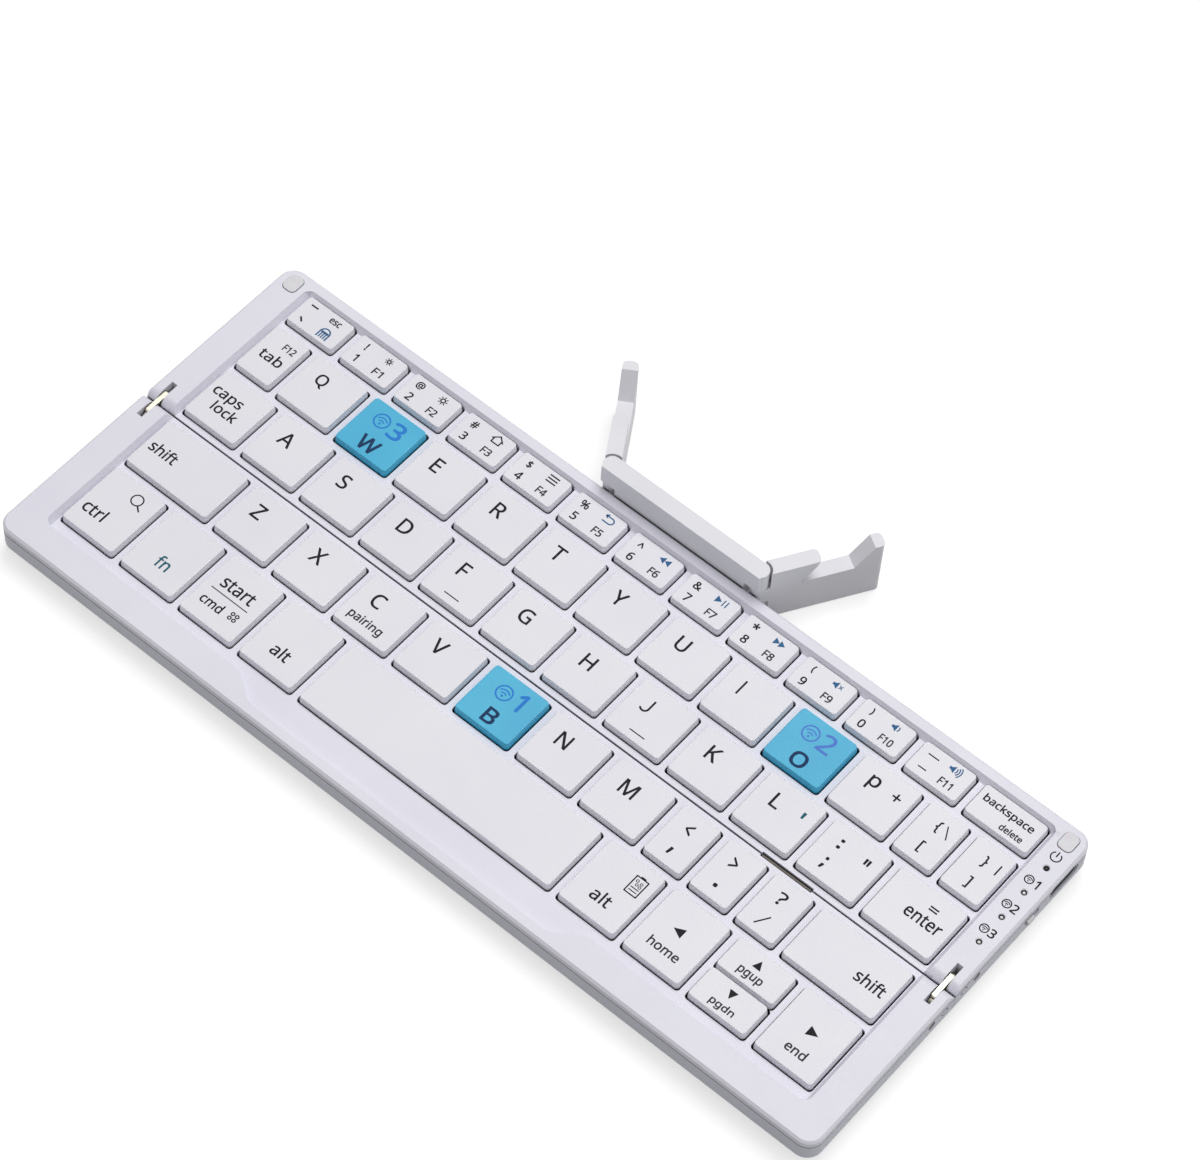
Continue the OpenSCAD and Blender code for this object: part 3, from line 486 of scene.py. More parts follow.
# ---------------------------------------------------------------- keycaps
SKIRT_DEPTH = 2.1          # from a key's top to its lower rim
SKIRT_WALL = 0.9
SKIRT_EDGE = 0.12          # bevel round the lower rim
ROOF_SKIN = 0.8
KEY_DRAFT = 0.2
KEY_EDGE = 0.15            # rounding of the top edge
KEY_CORNER = 0.95          # corner seen from above
CORNER_LEAST = 0.2
FIELD_INSET = 0.15         # the flat field of the top starts this far inside its rounded edge
EDGE_STEPS = 4


def keycap_mesh(width, depth):
    """A hollow cap round the origin, its top at KEY_TOP."""
    low, roof = KEY_TOP - SKIRT_DEPTH, KEY_TOP - ROOF_SKIN
    outline = [(SKIRT_WALL, roof), (SKIRT_WALL, low), (SKIRT_EDGE, low), (0.0, low + SKIRT_EDGE)]
    for i in range(EDGE_STEPS + 1):
        turn = math.radians(90 * i / EDGE_STEPS)
        inset = KEY_DRAFT + KEY_EDGE * (1 - math.cos(turn))
        outline.append((inset, KEY_TOP - KEY_EDGE * (1 - math.sin(turn))))
    outline.append((KEY_DRAFT + KEY_EDGE + FIELD_INSET, KEY_TOP))
    rings = []
    for inset, z in outline:
        x, y = width / 2 - inset, depth / 2 - inset
        ring = rounded_rectangle(-x, -y, x, y, max(KEY_CORNER - inset, CORNER_LEAST))
        rings.append([(px, py, z) for px, py in ring])
    bm = bmesh.new()
    skinned(bm, rings)
    bmesh.ops.recalc_face_normals(bm, faces=bm.faces)
    return mesh_of(bm, "cap", 50.0)


def keycaps(node):
    """Every cap of a key node, placed on its CAD solids. Caps of one size are copies of one moulding."""
    finish = finish_of(node)
    sizes = {}
    for low, high in solids(node):
        size = (round(high.x - low.x, 2), round(high.y - low.y, 2))
        sizes.setdefault(size, []).append((low + high) / 2)
    parts = []
    for (width, depth), centres in sizes.items():
        moulding = bpy.data.objects.new("moulding", keycap_mesh(width, depth))
        points = bpy.data.meshes.new("places")
        points.from_pydata([(c.x * MM, c.y * MM, 0) for c in centres], [], [])
        parts.append(grown(node, COPIES, points, {"Moulding": moulding, "Finish": finish}))
        bpy.data.objects.remove(moulding)
    bm = joined(parts)
    mesh = bpy.data.meshes.new(node)
    bm.to_mesh(mesh)
    bm.free()
    piece("caps_" + node, mesh, [finish], BODY_OF[node], [node])


KEY_NODES = [node for node in frame["nodes"] if SLOT_OF[node] in ("keycap", "accent_keycap")]
for key_node in KEY_NODES:
    keycaps(key_node)


# ---------------------------------------------------------------- legends
PRINT_SINK = 0.04          # how deep the ink goes into the plastic
PRINT_PROUD = 0.012        # and how far it stands out
PEN_GAIN = 0.05            # how far the ink spreads past each side of a stroke
BOLD_GAIN = 0.1
PASS_STEP = 0.001          # each pass of the ink lies this much higher
FONT_FOLDER = bpy.utils.system_resource("DATAFILES", path="fonts")
FACE = bpy.data.fonts.load(FONT_FOLDER + "/NotoSansMath-Regular.woff2")


class Print:
    """Flat shapes on one plane, each in its own ink, that become one thin mesh."""

    def __init__(self, height):
        self.bm = bmesh.new()
        self.low, self.high = height - PRINT_SINK, height + PRINT_PROUD
        self.x, self.y = 0.0, 0.0

    def shape(self, points, colour):
        """A slab with this outline, counter-clockwise, drawn from the sheet's own x and y."""
        first = len(self.bm.faces)
        placed = [(self.x + x, self.y + y) for x, y in points]
        skinned(self.bm, [[(x, y, z) for x, y in placed] for z in (self.low, self.high)])
        self.bm.faces.ensure_lookup_table()
        for face in self.bm.faces[first:]:
            face.material_index = INK_ORDER.index(colour)

    def bar(self, x0, y0, x1, y1, width, colour):
        along = Vector((x1 - x0, y1 - y0)).normalized() * width / 2
        a, b = Vector((along.y, -along.x)), Vector((x0, y0)) - along * 0.6
        c = Vector((x1, y1)) + along * 0.6
        self.shape([tuple(p) for p in (b + a, c + a, c - a, b - a)], colour)

    def path(self, points, width, colour):
        for (x0, y0), (x1, y1) in zip(points, points[1:]):
            self.bar(x0, y0, x1, y1, width, colour)

    def disc(self, x, y, radius, colour, sides=20):
        turns = [math.tau * i / sides for i in range(sides)]
        self.shape([(x + radius * math.cos(t), y + radius * math.sin(t)) for t in turns], colour)

    def arc(self, x, y, radius, width, start, end, colour, sides=24):
        """A curved stroke from start to end degrees."""
        count = max(3, round(sides * abs(end - start) / 360))
        turns = [math.radians(start + (end - start) * i / count) for i in range(count + 1)]
        outer, inner = radius + width / 2, radius - width / 2
        for a, b in zip(turns, turns[1:]):
            corners = ((inner, a), (outer, a), (outer, b), (inner, b))
            self.shape([(x + r * math.cos(t), y + r * math.sin(t)) for r, t in corners], colour)

    def hook(self, x, y, height, colour):
        """A capital J that stands on the line."""
        bend, pen = 0.27 * height, 0.125 * height
        right, low = x + 0.24 * height, y - height / 2 + pen / 2
        self.bar(right, y + height / 2 - 0.3 * pen, right, low + bend, pen, colour)
        self.arc(right - bend, low + bend, bend, pen, -150, 0, colour)

    def words(self, text, x, y, height, colour, width=None, gain=PEN_GAIN):
        """Text whose own box has this height, centred on x and y; width sets its width too.

        It is printed in four passes, each shifted by gain, which thickens the strokes.
        """
        curve = bpy.data.curves.new("words", "FONT")
        curve.body = text
        curve.font = FACE
        curve.fill_mode = "BOTH"
        curve.extrude = 0.5
        curve.resolution_u = 4
        holder = bpy.data.objects.new("words", curve)
        bpy.context.scene.collection.objects.link(holder)
        mesh = baked(holder)
        places = [v.co for v in mesh.vertices]
        low, high = Vector(map(min, zip(*places))), Vector(map(max, zip(*places)))
        tall = height / (high.y - low.y)
        wide = width / (high.x - low.x) if width else tall
        middle = (low + high) / 2
        thick = (self.high - self.low) / (high.z - low.z)
        first = len(self.bm.faces)
        sized = Matrix.Diagonal((wide, tall, thick, 1)) @ Matrix.Translation(-middle)
        mesh.transform(Matrix.Translation((x, y, (self.low + self.high) / 2)) @ sized)
        place = Vector((0, 0, 0))
        for turn, (side_x, side_y) in enumerate(((-1, -1), (1, -1), (1, 1), (-1, 1))):
            shift = Vector((side_x * gain, side_y * gain, turn * PASS_STEP))
            mesh.transform(Matrix.Translation(shift - place))
            place = shift
            self.bm.from_mesh(mesh)
        bpy.data.meshes.remove(mesh)
        bpy.data.curves.remove(curve)
        self.bm.faces.ensure_lookup_table()
        for face in self.bm.faces[first:]:
            face.material_index = INK_ORDER.index(colour)

    def finish(self, name, body, slot):
        for face in self.bm.faces:
            face.smooth = False
        mesh = bpy.data.meshes.new(name)
        self.bm.to_mesh(mesh)
        self.bm.free()
        mesh.transform(Matrix.Scale(MM, 4))
        return piece(name, mesh, [INKS[colour] for colour in INK_ORDER], body)


# The small symbols of the second layer, about 2.4 mm across. Each is drawn round the sheet's own x and y.
PEN = 0.3
RAY_PEN = 0.23


def sun(sheet, colour, core, ray):
    sheet.arc(0, 0, core, PEN, 0, 360, colour)
    start = core + 0.28
    for i in range(8):
        a = math.tau * i / 8
        x, y = math.cos(a), math.sin(a)
        sheet.bar(start * x, start * y, ray * x, ray * y, RAY_PEN, colour)


def house(sheet, colour):
    sheet.path([(-1.35, -0.1), (0, 1.1), (1.35, -0.1)], PEN, colour)
    sheet.path([(-0.95, 0), (-0.95, -1), (0.95, -1), (0.95, 0)], PEN, colour)


def three_lines(sheet, colour):
    for step in (-0.8, 0, 0.8):
        sheet.bar(-1.15, step, 1.15, step, 0.33, colour)


def turn_back(sheet, colour):
    """A line that bends back on itself, with an arrowhead."""
    bend = 0.75
    sheet.path([(-1.1, -bend), (0.5, -bend)], PEN, colour)
    sheet.arc(0.5, 0, bend, PEN, -90, 90, colour)
    sheet.path([(0.5, bend), (-1.0, bend)], PEN, colour)
    sheet.path([(-0.6, 1.15), (-1.1, bend), (-0.6, 0.35)], PEN, colour)


def skip(sheet, colour, side):
    """Two triangles that point to the left or to the right."""
    for shift in (-0.65, 0.65):
        near, far = shift + side * 0.65, shift - side * 0.65
        tip = [(near, 0), (far, 0.85), (far, -0.85)]
        sheet.shape(tip if side > 0 else tip[::-1], colour)


def play_and_pause(sheet, colour):
    sheet.shape([(-1.45, -0.9), (-0.05, 0), (-1.45, 0.9)], colour)
    for shift in (0.45, 1.2):
        sheet.bar(shift, -0.75, shift, 0.75, 0.26, colour)


def speaker(sheet, colour, waves):
    """A speaker with its sound waves, or with a cross where it has none."""
    cone = [(-1.2, -0.32), (-0.75, -0.32), (0, -0.9), (0, 0.9), (-0.75, 0.32), (-1.2, 0.32)]
    sheet.shape(cone, colour)
    if not waves:
        sheet.bar(0.4, -0.4, 1.1, 0.4, 0.2, colour)
        sheet.bar(0.4, 0.4, 1.1, -0.4, 0.2, colour)
    for i in range(waves):
        sheet.arc(-0.3, 0, 0.85 + 0.5 * i, 0.26, -42, 42, colour)


def barred_arch(sheet, colour):
    """The mark of the function lock."""
    half, pen = 1.15, 0.34
    sheet.arc(0, 0.1, half, pen, 0, 180, colour)
    for side in (-half, half):
        sheet.path([(side, 0.1), (side, -1.4)], pen, colour)
    sheet.bar(-0.75, 0.2, 0.75, 0.2, 0.5, colour)
    for shift in (-0.55, 0, 0.55):
        sheet.bar(shift, 0, shift, -1.3, 0.3, colour)


def magnifier(sheet, colour):
    sheet.arc(-0.3, 0.4, 1.3, PEN, 0, 360, colour)
    sheet.bar(0.65, -0.6, 1.75, -1.5, 0.34, colour)


def clipboard(sheet, colour):
    half, top, foot = 1.4, 2.0, -2.1
    edge = [(-half, top), (half, top), (half, foot), (-half, foot), (-half, top)]
    sheet.path(edge, 0.28, colour)
    sheet.bar(-0.5, 2.25, 0.5, 2.25, PEN, colour)
    for x, y in ((-0.6, 1.1), (0.5, 0.9), (-0.2, 0.3), (0.6, 0.1)):
        sheet.arc(x, y, 0.28, 0.16, 0, 360, colour, 12)
    for step in (-0.6, -1.3):
        sheet.bar(-0.9, step, 0.9, step, 0.22, colour)


def four_rings(sheet, colour):
    for x in (-0.55, 0.55):
        for y in (-0.55, 0.55):
            sheet.arc(x, y, 0.36, 0.27, 0, 360, colour, 12)


def arrow(sheet, colour, turn, size):
    """A triangle whose tip points turn degrees from the right."""
    a = math.radians(turn)
    across, along = size * math.cos(a), size * math.sin(a)
    corners = ((1.25, 0), (-1.1, 1.15), (-1.1, -1.15))
    sheet.shape([(x * across - y * along, x * along + y * across) for x, y in corners], colour)


def power_mark(sheet, colour):
    sheet.arc(0, 0, 1.1, 0.28, 125, 415, colour)
    sheet.bar(0, 0.1, 0, 1.25, 0.28, colour)


ICONS = {
    "dim": (sun, 0.38, 0.85),
    "bright": (sun, 0.48, 1.05),
    "house": (house,),
    "menu": (three_lines,),
    "return": (turn_back,),
    "rewind": (skip, -1),
    "forward": (skip, 1),
    "play": (play_and_pause,),
    "mute": (speaker, 0),
    "quieter": (speaker, 1),
    "louder": (speaker, 3),
    "lock": (barred_arch,),
    "glass": (magnifier,),
    "list": (clipboard,),
    "grid": (four_rings,),
    "right": (arrow, 0, 1.0),
    "up": (arrow, 90, 0.85),
    "left": (arrow, 180, 1.0),
    "down": (arrow, 270, 0.85),
    "power": (power_mark,),
}


def icon(sheet, kind, x, y, colour="dark"):
    draw, *sizes = ICONS[kind]
    sheet.x, sheet.y = x, y
    draw(sheet, colour, *sizes)
    sheet.x, sheet.y = 0.0, 0.0


def wireless(sheet, x, y, radius, colour, pen):
    """A generic wireless mark: a ring round two waves and a dot."""
    foot = y - 0.42 * radius
    sheet.arc(x, y, radius - pen / 2, pen, 0, 360, colour)
    sheet.disc(x, foot, 0.14 * radius, colour, 12)
    for reach in (0.42, 0.82):
        sheet.arc(x, foot, reach * radius, pen * 0.8, 40, 140, colour)


LETTER_H = 3.45
STEM = 0.42                # width of a letter's upright
LETTERS = {
    "Q": (-1.9, 1.75), "E": (-2.3, 1.8), "R": (-1.8, 1.8), "T": (-2.1, 1.8), "Y": (-2.1, 1.8),
    "U": (-1.8, 1.8), "I": (-2.8, 1.8), "A": (-1.8, 1.7), "S": (-2.2, 1.7), "D": (-1.7, 1.7),
    "F": (-2.1, 1.7), "G": (-1.8, 1.7), "H": (-1.6, 1.7), "J": (-2.6, 1.7), "K": (-1.8, 1.7),
    "L": (-1.9, 1.7), "Z": (-2.1, 1.85), "X": (-2.0, 1.85), "C": (-2.0, 1.85), "V": (-1.9, 1.85),
    "N": (-1.6, 1.75), "M": (-1.1, 1.75),
}
HOME_LINE = ("bar", 0.1, -4.65, 3.6, "dark", 0.25)
BESIDE_LETTER = {
    "F": [HOME_LINE],
    "J": [HOME_LINE],
    "L": [("bold:'", 4.0, 2.5, 1.35, "teal", 0.5)],
    "C": [("pairing", -0.6, -3.75, 2.6, "pale", 8.2)],
}


def letter(name):
    """A letter with what stands beside it on its key. The I is a bare stroke, as the font's has feet."""
    x, y = LETTERS[name]
    if name == "I":
        return [("stroke:0", x, y, LETTER_H, "dark", STEM)]
    return [(name, x, y, LETTER_H, "dark", None)] + BESIDE_LETTER.get(name, [])


# Each number key: its sign, its digit, its symbol and the symbol's ink.
NUMBER_ROW = (
    ("!", "1", "dim", "dark"),
    ("@", "2", "bright", "dark"),
    ("#", "3", "house", "dark"),
    ("$", "4", "menu", "dark"),
    ("%", "5", "return", "blue"),
    ("^", "6", "rewind", "blue"),
    ("&", "7", "play", "blue"),
    ("*", "8", "forward", "blue"),
    ("(", "9", "mute", "blue"),
    (")", "0", "quieter", "blue"),
)
SIGN_X = -3.5
SIGN_Y = {"*": 2.1}        # signs whose place or height isn't the usual one
SIGN_H = {"^": 1.15, "*": 1.4}
DIGIT_H = 1.95
FUNCTION_H = 1.75


def number_key(index):
    """A number key: its sign over its digit on the left, a symbol over its function name on the right."""
    sign, digit, picture, colour = NUMBER_ROW[index]
    function = "F%d" % (index + 1)
    return [(sign, SIGN_X, SIGN_Y.get(sign, 1.75), SIGN_H.get(sign, 1.85), "dark", None),
            (digit, SIGN_X, -1.75, DIGIT_H, "dark", None),
            ("icon:" + picture, 2.45, 1.95, 0, colour, None),
            (function, 2.5, -1.7, FUNCTION_H, "pale", 2.2 if len(function) == 2 else 3.0)]


# For each key node, a list for each of its keys from left to right. An entry holds what to print, its
# place from the key's middle, its height, its ink, and its width or None.
LEGENDS = {
    "key_escape": [[
        ("bar", -3.6, 2.25, 1.6, "dark", 0.38),
        ("stroke:-1", -3.7, -1.95, 0.8, "dark", 0.4),
        ("esc", 2.3, 1.95, 1.25, "pale", 2.7),
        ("icon:lock", 2.4, -1.55, 0, "blue", None)]],
    "number_keys": [number_key(i) for i in range(len(NUMBER_ROW))] + [[
        ("bar", -2.9, 1.6, 2.4, "dark", 0.28),
        ("bar", -3.1, -1.9, 1.8, "dark", 0.28),
        ("icon:louder", 2.0, 1.95, 0, "blue", None),
        ("F11", 2.4, -1.7, FUNCTION_H, "pale", 2.9)]],
    "key_backspace": [[
        ("backspace", -0.2, 1.0, 2.35, "dark", 11.8),
        ("delete", 2.7, -2.1, 1.5, "pale", 5.2)]],
    "key_tab": [[
        ("F12", 1.7, 3.2, 1.7, "pale", 2.9),
        ("tab", 0.2, -0.6, 2.6, "dark", 5.6)]],
    "upper_row_keys": [letter(c) for c in "QERTYUI"] + [
        [("p", -1.8, 1.75, 3.5, "dark", 2.3),
         ("+", 3.6, 2.2, 1.9, "dark", None)],
        [("{", -0.2, 2.4, 2.9, "dark", 0.95),
         ("stroke:-0.5", 2.0, 2.4, 2.7, "dark", 0.26),
         ("[", -0.1, -3.2, 2.9, "dark", 0.75)],
        [("}", -0.1, 2.3, 2.9, "dark", 0.95),
         ("|", 2.9, 2.4, 2.5, "dark", 0.22),
         ("]", 0.0, -3.3, 2.9, "dark", 0.75)]],
    "key_w": [[
        ("wireless", -2.0, 2.6, 1.9, "deep", None),
        ("bold:3", 2.1, 2.5, 4.2, "deep", 3.0),
        ("bold:W", -0.2, -3.6, 3.5, "navy", 4.5)]],
    "key_o": [[
        ("wireless", -2.0, 2.6, 1.95, "soft", None),
        ("2", 2.0, 2.7, 4.4, "soft", 3.0),
        ("bold:O", 0.0, -3.6, 3.5, "navy", 3.4)]],
    "key_caps_lock": [[
        ("caps", -1.8, 1.0, 2.7, "dark", 7.3),
        ("lock", 0.1, -1.7, 2.55, "dark", 6.1)]],
    "home_row_keys": [letter(c) for c in "ASDFGHJKL"] + [[
        ("bold::", -2.75, 2.35, 2.2, "dark", 0.6),
        ("bold:;", -2.7, -2.9, 2.7, "dark", 0.65),
        ("bold:\"", 3.7, 2.5, 1.3, "dark", 1.1)]],
    "key_enter": [[
        ("=", 2.4, 2.8, 0.95, "dark", 1.9),
        ("enter", 2.2, -0.3, 2.6, "dark", 8.2)]],
    "key_shift_left": [[("shift", -6.15, -0.2, 2.75, "dark", 6.6)]],
    "lower_row_keys": [letter(c) for c in "ZXCVNM"],
    "key_b": [[
        ("wireless", -1.4, 2.25, 1.9, "deep", None),
        ("bold:1", 2.4, 2.6, 4.3, "deep", 1.6),
        ("bold:B", 0.0, -3.55, 3.5, "navy", 2.7)]],
    "punctuation_keys": [
        [("<", -0.3, 2.5, 2.5, "dark", 1.5), ("bold:,", -0.3, -3.45, 1.5, "dark", 0.65)],
        [(">", -0.5, 2.5, 2.5, "dark", 1.5), ("bold:.", -0.3, -3.6, 0.7, "dark", 0.7)],
        [("?", -0.3, 2.4, 2.9, "dark", 1.9), ("stroke:0.65", -0.2, -3.5, 2.8, "dark", 0.32)]],
    "key_shift_right": [[("shift", 5.95, -0.6, 2.75, "dark", 6.6)]],
    "key_ctrl": [[
        ("icon:glass", 2.3, 4.2, 0, "dark", None),
        ("ctrl", -2.6, -2.7, 3.0, "dark", 5.3)]],
    "key_fn": [[("fn", 0.3, -2.9, 3.0, "teal", 3.1)]],
    "key_start": [[
        ("start", -0.1, 2.1, 2.75, "dark", 7.9),
        ("bar", -0.2, -0.5, 9.4, "dark", 0.22),
        ("cmd", -2.1, -3.4, 2.25, "dark", 5.3),
        ("icon:grid", 3.3, -3.1, 0, "dark", None)]],
    "key_alt_left": [[("alt", -0.1, -2.9, 2.9, "dark", 4.2)]],
    "key_alt_right": [[
        ("icon:list", 3.5, 3.1, 0, "dark", None),
        ("alt", 0.0, -3.1, 2.9, "dark", 4.3)]],
    "key_left": [[
        ("icon:left", -0.3, 1.0, 0, "dark", None),
        ("home", 0.0, -3.8, 2.1, "pale", 7.1)]],
    "key_up": [[
        ("icon:up", -0.3, 1.15, 0, "dark", None),
        ("pgup", -0.2, -1.95, 2.0, "pale", 5.5)]],
    "key_down": [[
        ("icon:down", -0.2, 1.3, 0, "dark", None),
        ("pgdn", 0.0, -1.95, 2.1, "pale", 5.5)]],
    "key_right": [[
        ("icon:right", 0.3, 0.9, 0, "dark", None),
        ("end", 0.2, -4.0, 2.1, "pale", 4.6)]],
}


WIRELESS_PEN = 0.34


def engrave(sheet, entry, middle):
    """Prints one entry of a key whose middle is given."""
    what, dx, dy, height, colour, width = entry
    x, y = middle.x + dx, middle.y + dy
    if what == "bar":
        sheet.bar(x - height / 2, y, x + height / 2, y, width, colour)
    elif what.startswith("stroke:"):
        lean = float(what[7:]) * height / 2
        sheet.bar(x - lean, y - height / 2, x + lean, y + height / 2, width, colour)
    elif what == "wireless":
        wireless(sheet, x, y, height, colour, WIRELESS_PEN)
    elif what.startswith("icon:"):
        icon(sheet, what[5:], x, y, colour)
    elif what == "J":
        sheet.hook(x, y, height, colour)
    elif what.startswith("bold:"):
        sheet.words(what[5:], x, y, height, colour, width, BOLD_GAIN)
    else:
        sheet.words(what, x, y, height, colour, width)


for key_node, faces in LEGENDS.items():
    sheet = Print(KEY_TOP)
    for (low, high), entries in zip(solids(key_node), faces):
        for entry in entries:
            engrave(sheet, entry, (low + high) / 2)
    sheet.finish("legend_" + key_node, BODY_OF[key_node], SLOT_OF[key_node])


# ---------------------------------------------------------------- marks beside the lights
MARK_RISE = 2.95           # from a light to the mark and the number behind it
MARK_LEFT, NUMBER_RIGHT = 1.0, 0.9
MARK_R, MARK_PEN = 1.05, 0.26
NUMBER_H = 2.0
POWER_RISE, POWER_LEFT = 3.2, 0.1


def middle_of(box):
    low, high = box
    return (low.x + high.x) / 2, (low.y + high.y) / 2


def light_marks():
    """A wireless mark and a number behind each of three lights, and the power mark behind the fourth."""
    sheet = Print(RIM_TOP)
    places = sorted(solids("status_led_lenses"), key=lambda box: box[0].y)
    for number, place in zip("321", places):
        x, y = middle_of(place)
        wireless(sheet, x - MARK_LEFT, y + MARK_RISE, MARK_R, "dark", MARK_PEN)
        sheet.words(number, x + NUMBER_RIGHT, y + MARK_RISE, NUMBER_H, "dark")
    x, y = middle_of(places[-1])
    icon(sheet, "power", x - POWER_LEFT, y + POWER_RISE)
    sheet.finish("light_marks", "rear_half", "body_shell")


light_marks()


# ---------------------------------------------------------------- body shells
NOSE_BLEND = 0.7           # where a rim turns down towards the fold
RIM_EDGE = 0.2
RECESS_EDGE = 0.25
HOLE_EDGE = 0.07
JOINT_EDGE = 0.1
FLOOR_EDGE = 0.35
COVER_LOW = low_corner("rear_bottom_cover").z
OUTER_BAND = 4             # the outer faces and their round corners lie this far in from a side
END_Y = 39                 # and this far from the fold at the ends of the two halves


def outer(edge):
    """Whether an edge lies on the outer faces of the body."""
    return all(abs(v.co.x) > SIDE_X - OUTER_BAND or abs(v.co.y - SEAM_Y) > END_Y for v in edge.verts)


# Each rule: the radius, and the edges that it rounds, told apart by their height and by how many
# degrees the surface turns there.
FRAME_ROUNDS = (
    (NOSE_BLEND, lambda e: level(e, RIM_TOP) and 18 < turn_of(e) < 29),
    (RIM_EDGE, lambda e: e.verts[0].co.z > RIM_TOP - 1 and 40 < turn_of(e) < 50),
    (RECESS_EDGE, lambda e: level(e, RIM_TOP) and 52 < turn_of(e) < 68),
    (HOLE_EDGE, lambda e: (level(e, RIM_TOP) or level(e, DECK_TOP)) and 75 < turn_of(e) < 105),
    (JOINT_EDGE, lambda e: level(e, JOINT_Z) and outer(e) and turn_of(e) > 75),
)
COVER_ROUNDS = (
    (FLOOR_EDGE, lambda e: level(e, COVER_LOW) and outer(e) and turn_of(e) > 75),
)
for node in ("rear_top_frame", "front_top_frame"):
    soft_solid(node, FRAME_ROUNDS)
for node in ("rear_bottom_cover", "front_bottom_cover"):
    soft_solid(node, COVER_ROUNDS)


# ---------------------------------------------------------------- stand, hinge and small mouldings
STAND_EDGE = 0.22
SMALL_EDGE = 0.1
FOOT_EDGE = 0.3


def crisp(edge):
    return turn_of(edge) > 28


for node in ("stand_bar", "stand_wing_left", "stand_wing_right"):
    soft_solid(node, ((STAND_EDGE, crisp),))
for node in ("hinge_links", "usb_port_shell", "power_switch_knob", "corner_pads"):
    soft_solid(node, ((SMALL_EDGE, crisp),))
for node in ("rear_feet", "front_feet"):
    soft_solid(node, ((FOOT_EDGE, lambda e: turn_of(e) > 75),))


# ---------------------------------------------------------------- status lights
LENS_SIDES = 32
WELL_R = 0.67
FLANGE = 0.12              # what the flange laps over the rim
FLANGE_T = 0.035
DOME_R = 0.33


def turned(bm, x, y, outline, ring=False):
    """A solid of revolution about a vertical line, from (radius, z) points; a ring has a hole."""
    turns = [math.tau * i / LENS_SIDES for i in range(LENS_SIDES)]
    rings = [[(x + r * math.cos(t), y + r * math.sin(t), z) for t in turns] for r, z in outline]
    if ring:
        skinned(bm, rings + rings[:1], False, False)
        bmesh.ops.remove_doubles(bm, verts=bm.verts, dist=0.0005)
    else:
        skinned(bm, rings)


def status_lights():
    """Dark wells with a flange on the rim, and a clear dome in each; the power light's dome is dark."""
    rims, wells, domes, dark_dome = (bmesh.new() for _ in range(4))
    places = sorted(solids("status_led_lenses"), key=lambda box: box[0].y)
    for low, high in places:
        x, y, top = (low.x + high.x) / 2, (low.y + high.y) / 2, high.z
        flange = high.x - x + FLANGE
        turned(rims, x, y, (
            (flange, top - 0.02), (flange, top + 0.01), (flange - 0.1, top + FLANGE_T),
            (WELL_R, top + FLANGE_T), (WELL_R, top - 0.12), (WELL_R + 0.05, top - 0.12)), ring=True)
        turned(wells, x, y, (
            (WELL_R, low.z), (WELL_R, top), (WELL_R - 0.08, top), (0.46, top - 0.1), (0.45, top - 0.3)))
        dome = dark_dome if high is places[-1][1] else domes
        turned(dome, x, y, (
            (DOME_R, top - 0.4), (DOME_R, top - 0.12), (0.27, top - 0.02), (0.16, top + 0.05),
            (0.05, top + 0.07)))
    for bm in (rims, wells, domes, dark_dome):
        bmesh.ops.recalc_face_normals(bm, faces=bm.faces)
    well_mesh = mesh_of(wells, "light_wells", 40)
    piece("light_wells", well_mesh, [FINISH["port_plastic"]], "rear_half",
          ["status_led_lenses"])
    for name, bm, finish in (
            ("light_rims", rims, "body_shell"),
            ("light_domes", domes, "lens_plastic"),
            ("power_light_dome", dark_dome, "port_plastic")):
        piece(name, mesh_of(bm, name, 60), [FINISH[finish]], "rear_half")


status_lights()


# ---------------------------------------------------------------- flat cable in the fold
CABLE_T = 0.15
LOOP_R = 0.25              # of the loop at its crest
LOOP_STEPS = 6
FOOT_BEND, FOOT_RISE = 0.3, 0.4    # of the bend where the flat part turns up


def cable_side(side, body):
    """Half of the flat cable: from under a deck to the fold, and up to the top of the loop."""
    low, high = low_corner("flex_cable"), high_corner("flex_cable")
    middle = (low.y + high.y) / 2
    flat_z = low.z + CABLE_T / 2
    crest = high.z - CABLE_T / 2 - LOOP_R
    path = [(high.y - middle, flat_z), (LOOP_R + FOOT_BEND, flat_z),
            (LOOP_R + 0.3 * FOOT_BEND, flat_z + 0.2 * FOOT_BEND),
            (LOOP_R, low.z + FOOT_RISE), (LOOP_R, crest)]
    for i in range(1, LOOP_STEPS + 1):
        turn = math.radians(90 * i / LOOP_STEPS)
        path.append((LOOP_R * math.cos(turn), crest + LOOP_R * math.sin(turn)))
    path = [(side * y, z) for y, z in path]
    rings = []
    for i, (y, z) in enumerate(path):
        before, after = path[max(i - 1, 0)], path[min(i + 1, len(path) - 1)]
        along = Vector((after[0] - before[0], after[1] - before[1])).normalized()
        across = Vector((-along.y, along.x)) * CABLE_T / 2
        corners = ((low.x, -1), (high.x, -1), (high.x, 1), (low.x, 1))
        rings.append([(x, middle + y + s * across.x, z + s * across.y) for x, s in corners])
    bm = bmesh.new()
    skinned(bm, rings)
    bmesh.ops.recalc_face_normals(bm, faces=bm.faces)
    mesh = mesh_of(bm, "cable", 60)
    obj = bpy.data.objects.new("cable_" + body, mesh)
    bpy.context.scene.collection.objects.link(obj)
    mesh.materials.append(FINISH["cable_film"])
    if side > 0:
        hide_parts("flex_cable")
    if side > 0:
        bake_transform(obj)
    else:
        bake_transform(obj)


cable_side(1, "rear_half")
cable_side(-1, "front_half")


# ---------------------------------------------------------------- what stays as the frame has it
for node, obj in frame["nodes"].items():
    for slot in obj.material_slots:
        slot.material = finish_of(node)


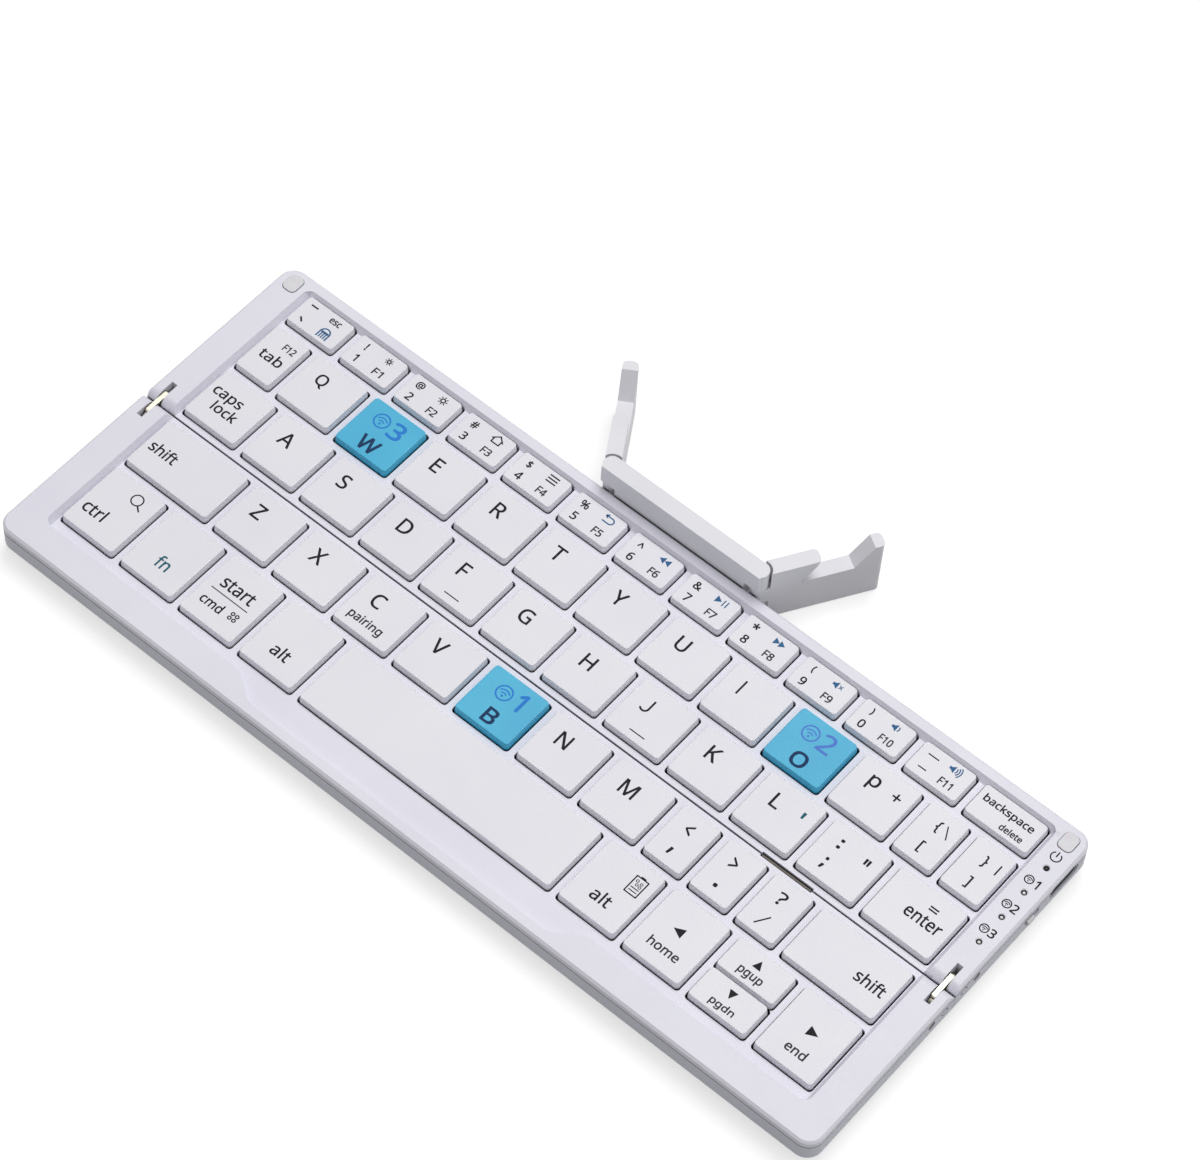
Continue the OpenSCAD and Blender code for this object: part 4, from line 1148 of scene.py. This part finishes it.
# ---------------------------------------------------------------- floor, lights and camera
SKY_LIGHT = 0.33           # what the white surroundings give as light
FLOOR_TONE = 0.55          # grey of the floor where it is seen
FLOOR_GLOW = 0.62          # what lifts it to white
FLOOR_BOUNCE = 0.4         # grey of the floor for the light that it throws back
FLOOR_DROP = 0.00005       # metres that the floor lies under the feet


def seen_or_not(nodes, links, unseen, seen):
    """The seen value for camera, glossy and transmission rays, and the unseen one for all others."""
    path = nodes.new("ShaderNodeLightPath")
    first, second = nodes.new("ShaderNodeMath"), nodes.new("ShaderNodeMath")
    first.operation = second.operation = "MAXIMUM"
    links.new(path.outputs["Is Camera Ray"], first.inputs[0])
    links.new(path.outputs["Is Glossy Ray"], first.inputs[1])
    links.new(first.outputs[0], second.inputs[0])
    links.new(path.outputs["Is Transmission Ray"], second.inputs[1])
    return ranged(nodes, links, second.outputs[0], unseen, seen, 0, 1)


def make_world():
    world = bpy.data.worlds.new("studio")
    bpy.context.scene.world = world
    world.use_nodes = True
    nodes, links = world.node_tree.nodes, world.node_tree.links
    sky = nodes["Background"]
    sky.inputs["Color"].default_value = (1, 1, 1, 1)
    links.new(seen_or_not(nodes, links, SKY_LIGHT, 1.0), sky.inputs["Strength"])


def make_floor():
    mesh = bpy.data.meshes.new("floor")
    half = 3.0
    corners = [(-half, -half, 0), (half, -half, 0), (half, half, 0), (-half, half, 0)]
    mesh.from_pydata(corners, [], [(0, 1, 2, 3)])
    floor = bpy.data.objects.new("floor", mesh)
    bpy.context.scene.collection.objects.link(floor)
    material = bpy.data.materials.new("floor_white")
    material.use_nodes = True
    nodes, links = material.node_tree.nodes, material.node_tree.links
    nodes.remove(nodes["Principled BSDF"])
    seen, unseen, glow, both, choice = (nodes.new(kind) for kind in (
        "ShaderNodeBsdfDiffuse", "ShaderNodeBsdfDiffuse", "ShaderNodeEmission", "ShaderNodeAddShader",
        "ShaderNodeMixShader"))
    seen.inputs["Color"].default_value = (FLOOR_TONE, FLOOR_TONE, FLOOR_TONE, 1)
    unseen.inputs["Color"].default_value = (FLOOR_BOUNCE, FLOOR_BOUNCE, FLOOR_BOUNCE, 1)
    glow.inputs["Strength"].default_value = FLOOR_GLOW
    links.new(seen.outputs[0], both.inputs[0])
    links.new(glow.outputs[0], both.inputs[1])
    links.new(seen_or_not(nodes, links, 0.0, 1.0), choice.inputs["Fac"])
    links.new(unseen.outputs[0], choice.inputs[1])
    links.new(both.outputs[0], choice.inputs[2])
    links.new(choice.outputs[0], nodes["Material Output"].inputs["Surface"])
    mesh.materials.append(material)
    floor.location.z = -FLOOR_DROP


def soft_box(name, place, size, power):
    """A square lamp that faces the middle of the keyboard, with its place and size in metres."""
    lamp = bpy.data.lights.new(name, "AREA")
    lamp.shape = "SQUARE"
    lamp.size = size
    lamp.energy = power
    obj = bpy.data.objects.new(name, lamp)
    bpy.context.scene.collection.objects.link(obj)
    obj.location = place
    obj.rotation_euler = (Vector((0, 0, 0)) - Vector(place)).to_track_quat("-Z", "Y").to_euler()


VIEW_AZIMUTH = 36.64
VIEW_ELEVATION = 56.42
VIEW_ROLL = 4.28
VIEW_PLACE = Vector((278.0, -367.45, 724.8))
LENS = 129.5               # on a sensor 36 mm wide


def make_camera():
    azimuth, elevation, roll = (math.radians(a) for a in (VIEW_AZIMUTH, VIEW_ELEVATION, VIEW_ROLL))
    level_ahead = Vector((-math.sin(azimuth), math.cos(azimuth), 0))
    ahead = level_ahead * math.cos(elevation) - Vector((0, 0, math.sin(elevation)))
    right = Vector((math.cos(azimuth), math.sin(azimuth), 0))
    up = right.cross(ahead)
    turned_right = math.cos(roll) * right + math.sin(roll) * up
    turned_up = math.cos(roll) * up - math.sin(roll) * right
    camera = bpy.data.cameras.new("view")
    camera.sensor_width = 36.0
    camera.lens = LENS
    camera.clip_start = 0.01
    obj = bpy.data.objects.new("view", camera)
    bpy.context.scene.collection.objects.link(obj)
    turn = Matrix((turned_right, turned_up, -ahead)).transposed().to_4x4()
    obj.matrix_world = Matrix.Translation(VIEW_PLACE * MM) @ turn
    bpy.context.scene.camera = obj


make_world()
make_floor()
soft_box("key_light", (-0.15, 0.6, 1.7), 1.0, 16)
soft_box("fill_light", (0.9, -0.2, 1.3), 1.0, 3.2)
make_camera()
bpy.context.scene.view_settings.view_transform = "Standard"
